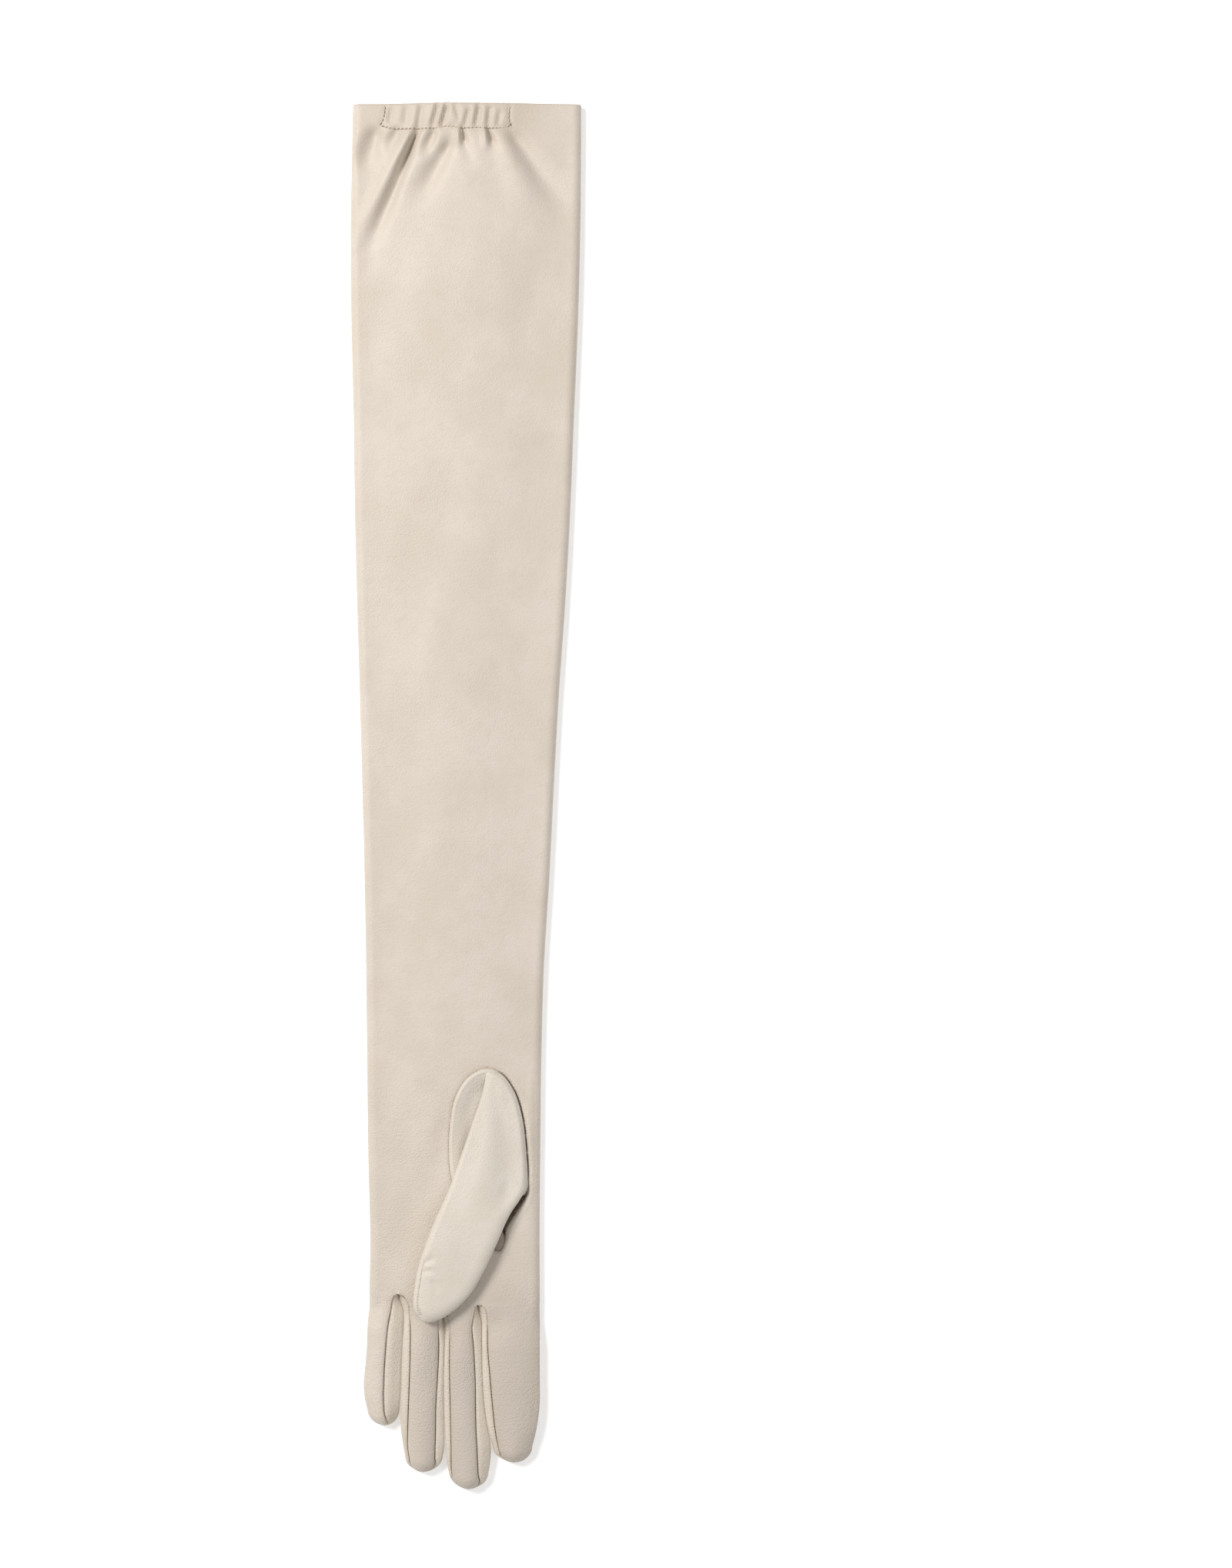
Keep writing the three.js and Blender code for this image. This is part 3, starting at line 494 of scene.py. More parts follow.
class Hand:
    """The glove's skin as rings of points, worked out from the panel's sizes."""

    def __init__(self, sizes):
        self.sizes = sizes
        self.knuckle_y = CUFF_Y - sizes.arm_length
        self.palm_middle = SLEEVE.read("lean", 1.0) * sizes.palm_width
        self.palm_left = self.palm_middle - sizes.palm_width / 2
        self.crotch_x = self.palm_left + CROTCHES.columns["across"] * sizes.palm_width
        self.crotch_y = self.knuckle_y - CROTCHES.columns["drop"] * sizes.palm_width
        self.thumb_x = self.palm_middle + 0.188 * sizes.palm_width
        self.thumb_y = self.knuckle_y + sizes.thumb_rise

    def sleeve(self, y):
        """Edges and top of the sleeve and palm at a height y."""
        sizes = self.sizes
        along = np.clip((CUFF_Y - y) / sizes.arm_length, 0, 1)
        width = lerp(sizes.palm_width, sizes.cuff_width, SLEEVE.read("flare", along))
        middle = SLEEVE.read("lean", along) * sizes.palm_width
        high = lerp(sizes.mouth_depth, sizes.sleeve_depth, ease(CUFF_Y - y, 0, 2 * sizes.gather_reach))
        return middle - width / 2, middle + width / 2, high

    def skin_top(self, x, y):
        """Height of the palm side where it has no fold."""
        left, right, high = self.sleeve(y)
        edge = self.sizes.folded_edge
        return edge + (high - edge) * crown(x, left, right, edge / 2)

    def thumb_plan(self, outline):
        """Plan points of an outline that is given in shares of the thumb's width and span."""
        sizes = self.sizes
        corner, unit = (self.thumb_x, self.thumb_y), (sizes.thumb_width, sizes.thumb_span)
        return [(corner[0] + x * unit[0], corner[1] - y * unit[1]) for x, y in outline]

    def axis_x(self, finger):
        """Where a finger's axis lies across the hand."""
        return self.palm_left + finger.axis * self.sizes.palm_width

    def tip_x(self, finger):
        """Where a finger's tip lies across the hand."""
        middle = (finger.table.read("left", 1.0) + finger.table.read("right", 1.0)) / 2
        return self.axis_x(finger) + middle * finger.breadth * self.sizes.palm_width

    def firmness(self, points):
        """1 where the leather has room for its seams and its thickness, less at fingertips and slits."""
        narrow = [(x, y, 2.5 * MM) for x, y in zip(self.crotch_x[1:-1], self.crotch_y[1:-1])]
        for finger in FINGERS:
            narrow.append((self.tip_x(finger), self.knuckle_y - getattr(self.sizes, finger.reach), 5 * MM))
        firm = np.ones(len(points))
        for x, y, reach in narrow:
            gap = np.hypot(points[:, 0] - x, points[:, 1] - y)
            firm = np.minimum(firm, 0.12 + 0.88 * ease(gap, 0.2 * reach, reach))
        return firm

    def rows(self):
        """Heights of the rings from the cuff to the knuckles, finer at the gathers and in the palm."""
        gathers = CUFF_Y - self.sizes.gather_reach
        hole = self.thumb_y + 3 * MM
        fold = self.thumb_y - 0.66 * self.sizes.thumb_span
        return np.concatenate([
            np.linspace(CUFF_Y, gathers, GATHER_ROWS)[:-1],
            np.linspace(gathers, hole, SLEEVE_ROWS)[:-1],
            np.linspace(hole, fold, HOLE_ROWS)[:-1],
            np.linspace(fold, self.knuckle_y, KNUCKLE_ROWS),
        ])

    def arm_rings(self):
        """Rings of the sleeve and palm: rows by columns by x, y, z."""
        edge = self.sizes.folded_edge
        over = [SIDE_UP, *OVER, SIDE_UP]
        under = [SIDE_LOW, *UNDER, SIDE_LOW]
        even = np.cumsum([0, *OVER]) / sum(OVER)
        even_low = np.cumsum([0, *UNDER]) / sum(UNDER)
        shares = (self.crotch_x[1:-1] - self.palm_left) / self.sizes.palm_width
        middle = EDGE_LINE * edge
        rings = []
        for y in self.rows():
            left, right, high = self.sleeve(y)
            near = 1 - ease(y, self.knuckle_y, self.knuckle_y + KNUCKLE_REACH)
            pull = SEAM_PULL * near
            stations = []
            for places, inset in ((even, ROUND_UP * edge), (even_low, ROUND_LOW * edge)):
                inner = lerp(places[1:-1], shares, near)
                station = left + inset + inner * (right - left - 2 * inset)
                station = lerp(station, self.crotch_x[1:-1], near)
                stations.append(np.concatenate([[left + inset], station, [right - inset]]))
            x, rise = half_section(left, right, ROUND_UP * edge, ROUND_UP * edge)
            z = middle + (edge - middle) * rise + (high - edge) * crown(x, left, right, edge / 2)
            up = at_stations(x, z, stations[0], over, pull)
            x, rise = half_section(left, right, ROUND_LOW * edge, ROUND_LOW * edge)
            low = at_stations(x, middle * (1 - rise), stations[1], under, pull)
            ring_x, ring_z = join_halves(up, low, right, middle)
            bend = np.interp(ring_x, self.crotch_x, self.crotch_y) - self.knuckle_y
            rings.append(np.stack([ring_x, y + near * bend, ring_z], axis=1))
        return np.array(rings)

    def finger_side(self, finger, side, word, share):
        """A finger's edge at a share of its length: its x and y, its seam's x and its rounding."""
        reach = getattr(self.sizes, finger.reach)
        breadth = finger.breadth * self.sizes.palm_width
        axis_x = self.axis_x(finger)
        sewn = finger.outer if word == "left" else finger.inner
        start_x, start_y = self.crotch_x[side], self.crotch_y[side]
        y = lerp(start_y, self.knuckle_y - reach, share)
        gap = start_y - y
        along = (self.knuckle_y - y) / reach
        tip_arc = TIP_ARC / reach
        x = axis_x + finger.table.read(word, min(along, 1 - tip_arc)) * breadth
        x = lerp(self.tip_x(finger), x, bulge(np.clip((1 - along) / tip_arc, 0, 1)))
        x = lerp(start_x, x, ease(gap, 0, 9 * MM if sewn else 12 * MM))
        if not sewn:
            return x, y, lerp(x, axis_x, 0.3), ROUND_UP * self.sizes.folded_edge
        seam = axis_x + finger.table.read("seam_" + word, along) * breadth
        seam = lerp(start_x, seam, bulge(np.clip(gap / (5 * MM), 0, 1)))
        return x, y, seam, lerp(0.4 * MM, 3.6 * MM, ease(gap, 0, 12 * MM))

    def finger_rings(self, number, last_ring):
        """Rings of one finger, the first one taken from the palm's last ring."""
        sizes, finger = self.sizes, FINGERS[number]
        edge = sizes.folded_edge
        tip_y = self.knuckle_y - getattr(sizes, finger.reach)
        palm_high = self.skin_top(self.axis_x(finger), self.knuckle_y)
        first = self.first_ring(number, last_ring)
        start = (first[:, 0] - first[:, 0].min()) / np.ptp(first[:, 0])
        rings = [first]
        shares = np.concatenate([
            [0.006, 0.014, 0.024, 0.036, 0.05, 0.066, 0.083],
            np.linspace(0.1, 0.88, 52),
            1 - 0.12 * (1 - np.sin(np.linspace(0, math.pi / 2, 16)[1:])),
        ])
        for share in shares:
            left, y_left, seam_left, round_left = self.finger_side(finger, number, "left", share)
            right, y_right, seam_right, round_right = self.finger_side(finger, number + 1, "right", share)
            half = max((right - left) / 2, 0.02 * MM)
            left, right = (left + right) / 2 - half, (left + right) / 2 + half
            seam_left = min(max(seam_left, left + 0.01 * MM), left + 0.9 * half)
            seam_right = max(min(seam_right, right - 0.01 * MM), right - 0.9 * half)
            up_left = min(max(round_left, 1.3 * (seam_left - left)), 0.98 * half)
            up_right = min(max(round_right, 1.3 * (right - seam_right)), 0.98 * half)
            low_left = min(round_left, ROUND_LOW * edge, 0.98 * half)
            low_right = min(round_right, ROUND_LOW * edge, 0.98 * half)
            remaining = min(half, (y_left + y_right) / 2 - tip_y)
            closing = bulge(np.clip(remaining / (0.62 * sizes.finger_depth), 0, 1))
            grown = ease(share, 0.0, 0.3)
            high = lerp(palm_high, sizes.finger_depth, grown)
            middle = lerp(EDGE_LINE * edge, lerp(0.64, 0.42, ease(share, 0.75, 1.0)) * high, grown)
            top = middle + (high - middle) * closing
            shoulder = lerp(top, middle, 0.5)
            stations = [seam_left, seam_right]
            x, rise = half_section(left, right, up_left, up_right)
            round_top = crown(x, left, right, min(1.5 * MM, half / 2), 1.2)
            z = middle + (shoulder - middle) * rise + (top - shoulder) * round_top
            up = at_stations(x, z, stations, [SIDE_UP, finger.over, SIDE_UP], SEAM_PULL)
            x, rise = half_section(left, right, low_left, low_right)
            z = middle - middle * closing * rise
            low = at_stations(x, z, stations, [SIDE_LOW, finger.under, SIDE_LOW], SEAM_PULL)
            ring_x, ring_z = join_halves(up, low, right, middle)
            across = np.clip((ring_x - left) / (right - left), 0, 1)
            folded = np.zeros(len(ring_x))
            if not finger.outer:
                folded = ease(0.5 - across, 0, 0.25)
            if not finger.inner:
                folded = ease(across - 0.5, 0, 0.25)
            across = lerp(across, start, folded * (1 - ease(share, 0.0, 0.15)))
            ring_x = left + across * (right - left)
            ring_y = lerp(y_left, y_right, across)
            ring_z = lerp(first[:, 2], ring_z, ease(share, 0.0, 0.2))
            rings.append(np.stack([ring_x, ring_y, ring_z], axis=1))
        rings[-1] = pinched(rings[-1])
        return np.array(rings)

    def first_ring(self, number, last_ring):
        """A finger's first ring: the palm's last ring above and below, and an upright line at each slit."""
        top_start = SIDE_UP + sum(OVER[:number])
        top = last_ring[top_start : top_start + OVER[number] + 1]
        low_start = 2 * SIDE_UP + sum(OVER) + SIDE_LOW + sum(UNDER[number + 1 :])
        low = last_ring[low_start : low_start + UNDER[number] + 1]
        middle = EDGE_LINE * self.sizes.folded_edge

        def upright(upper, lower):
            """Points down from the palm side to the back at a slit's end."""
            heights = np.concatenate([
                lerp(upper[2], middle, spread(SIDE_UP, SEAM_PULL)),
                lerp(middle, lower[2], spread(SIDE_LOW, SEAM_PULL))[1:],
            ])
            share = (upper[2] - heights) / (upper[2] - lower[2])
            plan = [lerp(upper[axis], lower[axis], share) for axis in (0, 1)]
            return np.stack([*plan, heights], axis=1)

        right_side = upright(top[-1], low[0])
        left_side = upright(top[0], low[-1])
        if number == 0:
            whole = closed_up(last_ring)
            left_side = np.vstack([last_ring[: SIDE_UP + 1][::-1], whole[::-1][1 : SIDE_LOW + 1]])
        if number == len(FINGERS) - 1:
            start = SIDE_UP + sum(OVER)
            right_side = last_ring[start : start + SIDE_UP + SIDE_LOW + 1]
        return np.vstack([
            left_side[: SIDE_UP + 1][::-1],
            top[1:],
            right_side[1:],
            low[1:],
            left_side[SIDE_UP:][::-1][1:-1],
        ])


def ring_faces(rows, columns, start=0):
    """Quads between neighbouring closed rings, turned outwards, with the column that each begins at."""
    row, column = np.meshgrid(np.arange(rows - 1), np.arange(columns), indexing="ij")
    after = (column + 1) % columns
    faces = np.stack([
        row * columns + column,
        (row + 1) * columns + column,
        (row + 1) * columns + after,
        row * columns + after,
    ], axis=-1)
    return faces.reshape(-1, 4) + start, column.ravel(), row.ravel()


def weld(points, faces):
    """Joins points in the same place."""
    keys = np.round(points / SAME_PLACE).astype(np.int64)
    _, first, back = np.unique(keys, axis=0, return_index=True, return_inverse=True)
    return points[first], back.ravel()[faces]


def point_normals(points, faces):
    """The skin's outward direction at each point."""
    corners = points[faces]
    across = np.cross(corners[:, 2] - corners[:, 0], corners[:, 3] - corners[:, 1])
    normals = np.zeros_like(points)
    for i in range(4):
        np.add.at(normals, faces[:, i], across)
    return normals / np.maximum(np.linalg.norm(normals, axis=1, keepdims=True), 1e-12)


def seam_field(points, seams, reach=SEAM_REACH):
    """How far each point is from the nearest seam, up to a reach, and how far along that seam."""
    distance = np.full(len(points), reach)
    along = np.zeros(len(points))
    for seam in seams:
        inside = np.all((points > seam.min(0) - reach) & (points < seam.max(0) + reach), axis=1)
        near = np.flatnonzero(inside)
        runs = np.diff(seam, axis=0)
        lengths = np.linalg.norm(runs, axis=1)
        runs, starts = runs[lengths > 1e-7], seam[:-1][lengths > 1e-7]
        lengths = lengths[lengths > 1e-7]
        passed = np.concatenate([[0], np.cumsum(lengths)[:-1]])
        for part in np.array_split(near, max(1, len(near) // BATCH)):
            if len(part) == 0:
                continue
            offsets = points[part][:, None] - starts[None]
            share = np.clip(np.einsum("psk,sk->ps", offsets, runs) / lengths**2, 0, 1)
            gaps = np.linalg.norm(offsets - share[..., None] * runs, axis=2)
            best = gaps.argmin(axis=1)
            rows = np.arange(len(part))
            nearest = gaps[rows, best]
            closer = nearest < distance[part]
            distance[part[closer]] = nearest[closer]
            place = passed[best] + share[rows, best] * lengths[best]
            along[part[closer]] = place[closer]
    return distance, along


def make_piece(name, points, faces, values=None):
    """A mesh object. values are named numbers of its points."""
    if not np.isfinite(points).all():
        raise ValueError(name + " has a point that is nowhere")
    used, back = np.unique(faces.ravel(), return_inverse=True)
    faces = back.reshape(faces.shape)
    mesh = bpy.data.meshes.new(name)
    corners = [list(dict.fromkeys(face)) for face in faces.tolist()]
    mesh.from_pydata(points[used].tolist(), [], [face for face in corners if len(face) > 2])
    for key, numbers in (values or {}).items():
        layer = mesh.attributes.new(key, "FLOAT", "POINT")
        layer.data.foreach_set("value", numbers[used].astype(np.float32))
    body = bmesh.new()
    body.from_mesh(mesh)
    bmesh.ops.remove_doubles(body, verts=body.verts, dist=SAME_PLACE)
    bmesh.ops.dissolve_degenerate(body, edges=body.edges, dist=SAME_PLACE / 2)
    for face in body.faces:
        face.smooth = True
    body.to_mesh(mesh)
    body.free()
    piece = bpy.data.objects.new(name, mesh)
    bpy.context.scene.collection.objects.link(piece)
    return piece


def thicken(piece, thickness):
    """Gives a skin its thickness, inwards, less where it isn't firm."""
    modifier = piece.modifiers.new("thickness", "SOLIDIFY")
    firm = piece.data.attributes.get("firm")
    if firm:
        group = piece.vertex_groups.new(name="firmness")
        weights = np.zeros(len(piece.data.vertices), np.float32)
        firm.data.foreach_get("value", weights)
        for index, weight in enumerate(weights.tolist()):
            group.add([index], weight, "REPLACE")
        modifier.vertex_group = group.name
    modifier.thickness = thickness
    modifier.offset = -1
    modifier.use_rim = True
    bpy.context.view_layer.objects.active = piece
    with bpy.context.temp_override(object=piece, active_object=piece, selected_objects=[piece]):
        bpy.ops.object.modifier_apply(modifier=modifier.name)


def settle(piece, node, material):
    """Gives a piece its material, hangs it on the root and hides the solid that it stands for."""
    piece.data.materials.append(material)
    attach(piece, "root")
    if node:
        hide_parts(node)


class Wire:
    """A socket of a node. Arithmetic on it adds Math nodes."""

    def __init__(self, tree, socket):
        self.tree = tree
        self.socket = socket

    def math(self, operation, *values):
        numbered = dict(enumerate(values))
        return self.tree.node("ShaderNodeMath", {"operation": operation}, numbered)

    def __add__(self, other):
        return self.math("ADD", self, other)

    def __radd__(self, other):
        return self.math("ADD", other, self)

    def __sub__(self, other):
        return self.math("SUBTRACT", self, other)

    def __rsub__(self, other):
        return self.math("SUBTRACT", other, self)

    def __mul__(self, other):
        return self.math("MULTIPLY", self, other)

    def __rmul__(self, other):
        return self.math("MULTIPLY", other, self)

    def fade(self, low, high):
        """0 below low and 1 above high, smooth between."""
        values = {"Value": self, "From Min": low, "From Max": high}
        return self.tree.node("ShaderNodeMapRange", {"interpolation_type": "SMOOTHSTEP"}, values)


class Tree:
    """The nodes of a material."""

    def __init__(self, name):
        self.material = bpy.data.materials.new(name)
        self.material.use_nodes = True
        self.nodes = self.material.node_tree.nodes
        self.links = self.material.node_tree.links
        self.shader = self.nodes["Principled BSDF"]

    def node(self, kind, settings=None, inputs=None, output=0):
        """A node of a kind with its settings and the values or links of its sockets."""
        node = self.nodes.new(kind)
        for name, value in (settings or {}).items():
            setattr(node, name, value)
        for key, value in (inputs or {}).items():
            self.put(node.inputs[key], value)
        return Wire(self, node.outputs[output])

    def put(self, socket, value):
        """Links a wire to a socket or sets its value."""
        if isinstance(value, Wire):
            self.links.new(value.socket, socket)
        else:
            socket.default_value = value

    def mix(self, share, first, second):
        """Colour between two colours."""
        values = {0: share, 6: first, 7: second}
        return self.node("ShaderNodeMix", {"data_type": "RGBA"}, values, output=2)

    def attribute(self, name):
        """A named number of the mesh's points."""
        return self.node("ShaderNodeAttribute", {"attribute_name": name}, output=2)

    def place(self, scale=(1, 1, 1)):
        """Place on the glove in metres, stretched by scale."""
        spot = self.node("ShaderNodeTexCoord", output=3)
        return self.node("ShaderNodeVectorMath", {"operation": "MULTIPLY"}, {0: spot, 1: scale})

    def noise(self, place, size, detail=2.0, roughness=0.5):
        """Noise from 0 to 1 with blots of about the given size in metres."""
        values = {"Vector": place, "Scale": 1 / size, "Detail": detail, "Roughness": roughness}
        return self.node("ShaderNodeTexNoise", None, values)

    def bump(self, strength, distance, height):
        """Normals of a surface that a height raises."""
        values = {"Strength": strength, "Distance": distance, "Height": height}
        return self.node("ShaderNodeBump", None, values)

    def finish(self, colour, roughness, normal):
        """The material, with what varies over its surface."""
        self.put(self.shader.inputs["Base Color"], colour)
        self.put(self.shader.inputs["Roughness"], roughness)
        self.put(self.shader.inputs["Normal"], normal)
        return self.material


def shade(colour, amount):
    """A colour made darker or lighter."""
    return tuple(min(1.0, value * amount) for value in colour[:3]) + (1.0,)


def warm(colour, amount):
    """A colour made darker and browner, for the grain, blots and seams of the leather and for painted
    shade.
    """
    red, green, blue = colour[:3]
    return (red * amount, green * amount**1.35, blue * amount**1.8, 1.0)


def leather(name, colour, looks, seamed=True, stitched=False):
    """Smooth cream leather with fine pebbled grain, darker and puckered at seams and stitches; painted
    shade darkens its hollows, stitch holes, casing band and fingers.
    """
    tree = Tree(name)
    here = tree.place()
    bends = {"Vector": here, "Scale": 1 / (2.2 * MM), "Detail": 1.0}
    wobble = tree.node("ShaderNodeTexNoise", None, bends, output=1)
    wobble = tree.node("ShaderNodeVectorMath", {"operation": "SCALE"}, {0: wobble, "Scale": 0.5 * MM})
    bent = tree.node("ShaderNodeVectorMath", {"operation": "ADD"}, {0: here, 1: wobble})
    cells = {"Vector": bent, "Scale": 1 / looks.grain_size, "Smoothness": 0.35}
    pebbles = tree.node("ShaderNodeTexVoronoi", {"feature": "SMOOTH_F1"}, cells)
    fine = tree.noise(here, 0.35 * MM, 2.0)
    creases = tree.noise(tree.place((1.0, 3.2, 1.0)), 3.5 * MM, 3.0, 0.6)
    patches = tree.noise(here, 26 * MM, 3.0, 0.55)
    strong = tree.noise(here, 40 * MM, 1.0).fade(0.35, 0.65)
    blots = tree.noise(here, 5 * MM, 2.0)
    grain = (1 - pebbles) * (0.55 + strong * 0.45) + fine * 0.25
    worn = tree.attribute("worn")
    height = (grain * looks.grain_height + creases * (0.15 * MM)) * (1 + worn * 1.4)
    tone = tree.mix(patches.fade(0.3, 0.7), warm(colour, 0.955), shade(colour, 1.02))
    tone = tree.mix(blots.fade(0.45, 0.75) * 0.35, tone, warm(colour, 0.93))
    tone = tree.mix(pebbles.fade(0.35, 0.8) * 0.16, tone, warm(colour, 0.84))
    if seamed:
        distance = tree.attribute("seam_distance")
        along = tree.attribute("seam_along")
        line = 1 - distance.fade(0.04 * MM, 0.3 * MM)
        near = 1 - distance.fade(0.2 * MM, 1.6 * MM)
        beat = along * (2 * math.pi / looks.stitch_pitch)
        pucker = beat.math("SINE", beat)
        height = height + pucker * near * (0.07 * MM) - line * (0.25 * MM)
        tone = tree.mix(near * 0.2, tone, warm(colour, 0.88))
        tone = tree.mix(line * (0.58 + pucker * 0.2), tone, warm(colour, 0.36))
        # Painted shade in the thumb's hole where it stands open, at its right and below, and on the quirk.
        tone = tree.mix(tree.attribute("hollow") * 0.85, tone, warm(colour, 0.22))
    if stitched:
        # Painted shade over the fingers past the knuckles, where the thumb's shadow falls and the fingers
        # slope away from the light.
        tone = tree.mix(tree.attribute("painted_finger_shade") * 0.8, tone, warm(shade(colour, 0.85), 0.95))
        # Painted shade over the casing band, standing for the shade among its gathers.
        tone = tree.mix(tree.attribute("gathered") * 0.8, tone, warm(colour, 0.88))
        # Painted shade in the needle holes between the casing's stitches, which are also sunk a little.
        beat = tree.attribute("stitch_along") * (2 * math.pi / looks.cuff_stitch)
        beside = tree.attribute("stitch_distance").fade(0.2 * MM, 0.55 * MM)
        hole = beat.math("COSINE", beat).fade(0.2, 0.9) * (1 - beside)
        height = height - hole * (0.3 * MM)
        tone = tree.mix(hole * 0.55, tone, warm(colour, 0.3))
    roughness = 0.5 + patches * 0.1 - fine * 0.06
    tree.shader.inputs["Specular IOR Level"].default_value = 0.42
    tree.shader.inputs["Sheen Weight"].default_value = 0.06
    return tree.finish(tone, roughness, tree.bump(0.62, 1.0, height))


def thread(name, colour):
    """Sewing thread with the lay of its strands."""
    tree = Tree(name)
    strands = {"Vector": tree.place(), "Scale": 2200.0, "Distortion": 1.5}
    waves = tree.node("ShaderNodeTexWave", None, strands)
    tone = tree.mix(waves * 0.5, warm(colour, 0.82), shade(colour, 1.05))
    # Painted shade where the thread dives into the leather; the casing's two end rows are darker all along.
    tone = tree.mix(tree.attribute("dive"), tone, warm(colour, 0.14))
    return tree.finish(tone, 0.6 + waves * 0.1, tree.bump(0.4, 0.05 * MM, waves))


def folds(x, y, table, origin, unit, hold):
    """Lift of a table's folds, below zero in them.

    Each fades out from its share hold on, and those that fade out early spread wider along their run.
    """
    widening = 1.3 if hold < 0.6 else 0.0
    across, down = (x - origin[0]) / unit[0], (origin[1] - y) / unit[1]
    lift = np.zeros(np.shape(x))
    for x0, y0, x1, y1, depth, width, ridge in zip(*table.columns.values()):
        run = np.array([(x1 - x0) * unit[0], (y1 - y0) * unit[1]])
        length = np.linalg.norm(run)
        offset = (across - x0) * unit[0], (down - y0) * unit[1]
        along = (offset[0] * run[0] + offset[1] * run[1]) / length**2
        aside = (offset[0] * run[1] - offset[1] * run[0]) / length
        wide = width * unit[0] * (1 + widening * np.clip(along, 0, 1))
        fade = ease(along, -0.12, 0.14) * (1 - ease(along, hold, 1.15))
        dip = bell(aside, wide)
        lip = ridge * bell(aside + 1.8 * wide, 1.3 * wide)
        lift += depth * fade * (lip - dip)
    return lift


def casing_seams(hand):
    """The casing's stitched lines in the plan."""
    sizes = hand.sizes
    lines = []
    for corners in CASING_SEAMS:
        across = [sizes.casing_shift + x * sizes.casing_width for x, _ in corners]
        down = [CUFF_Y - y * sizes.casing_drop for _, y in corners]
        lines.append(smooth_line(list(zip(across, down)), 120))
    return lines


def casing_gap(hand, x, y):
    """Distance from the casing's stitched lines, and how far along them, in the plan."""
    flat = np.column_stack([x, y, np.zeros(len(x))])
    lines = [np.column_stack([line, np.zeros(len(line))]) for line in casing_seams(hand)]
    return seam_field(flat, lines)


def cuff_lift(hand, x, y):
    """How far folds, gathers and stitches lift the palm side, below zero where they sink it."""
    sizes = hand.sizes
    x, y = np.ravel(x), np.ravel(y)
    corner = (sizes.casing_shift, CUFF_Y)
    unit = (sizes.casing_width, sizes.gather_reach)
    lift = folds(x, y, CUFF_FOLDS, corner, unit, 0.45)
    lift += folds(x, y, CASING_GATHERS, corner, unit, 0.85)
    distance, _ = casing_gap(hand, x, y)
    return sizes.fold_depth * lift - 0.55 * MM * bell(distance, 0.9 * MM)


def seam_roll(distance, depth):
    """The leather rolls down into a seam: a broad roll and a narrow groove."""
    return -depth * (0.5 * bell(distance, 1.5 * MM, 1.5) + 0.5 * bell(distance, 0.4 * MM))


def signed_distance(x, y, outline):
    """Distance from a closed outline in the plan, below zero inside it, and the step away from it."""
    spots = np.stack([x, y], axis=1)
    starts, ends = outline[:-1], outline[1:]
    runs = ends - starts
    offsets = spots[:, None] - starts[None]
    share = np.clip(np.einsum("psk,sk->ps", offsets, runs) / np.sum(runs**2, axis=1), 0, 1)
    away = offsets - share[..., None] * runs
    gaps = np.linalg.norm(away, axis=2)
    best = gaps.argmin(axis=1)
    rows = np.arange(len(x))
    crosses = (starts[None, :, 1] > y[:, None]) != (ends[None, :, 1] > y[:, None])
    slope = runs[:, 0] / np.where(runs[:, 1] == 0, 1e-12, runs[:, 1])
    cut = starts[None, :, 0] + (y[:, None] - starts[None, :, 1]) * slope
    inside = np.sum(crosses & (x[:, None] < cut), axis=1) % 2 == 1
    sign = np.where(inside, -1.0, 1.0)
    return sign * gaps[rows, best], away[rows, best]


def hand_skin(sizes):
    """The whole skin of sleeve, palm and fingers, with its seams and the piece of each face."""
    hand = Hand(sizes)
    arm = hand.arm_rings()
    columns = arm.shape[1]
    faces, _, _ = ring_faces(len(arm), columns)
    points = [arm.reshape(-1, 3)]
    all_faces = [faces]
    owners = [np.zeros(len(faces), int)]
    seams = []
    nodes = ["trank"]
    total = len(points[0])
    for number, finger in enumerate(FINGERS):
        rings = hand.finger_rings(number, arm[-1])
        faces, column, _ = ring_faces(len(rings), rings.shape[1], total)
        owner = np.zeros(len(faces), int)
        start = SIDE_UP + finger.over
        end = start + SIDE_UP + SIDE_LOW
        low = end + finger.under
        seam_columns = []
        if finger.outer:
            nodes.append(finger.outer)
            owner[(column < SIDE_UP) | (column >= low)] = len(nodes) - 1
            seam_columns += [SIDE_UP, low]
        if finger.inner:
            nodes.append(finger.inner)
            owner[(column >= start) & (column < end)] = len(nodes) - 1
            seam_columns += [start, end]
        seams += [rings[:-1, place] for place in seam_columns]
        points.append(rings.reshape(-1, 3))
        all_faces.append(faces)
        owners.append(owner)
        total += len(points[-1])
    points, faces = weld(np.concatenate(points), np.concatenate(all_faces))
    return hand, points, faces, np.concatenate(owners), nodes, seams


def back_seam(hand):
    """The closing seam along the back, beside the little finger's edge."""
    heights = np.linspace(CUFF_Y, hand.knuckle_y, 120)
    left = np.array([hand.sleeve(y)[0] for y in heights])
    little = FINGERS[0]
    shares = np.linspace(0.1, 0.9, 24)
    breadth = little.breadth * hand.sizes.palm_width
    x = np.concatenate([left, hand.axis_x(little) + little.table.read("left", shares) * breadth])
    y = np.concatenate([heights, hand.knuckle_y - shares * hand.sizes.little_reach])
    return np.stack([x + BACK_SEAM_INSET, y, np.zeros(len(x))], axis=1)


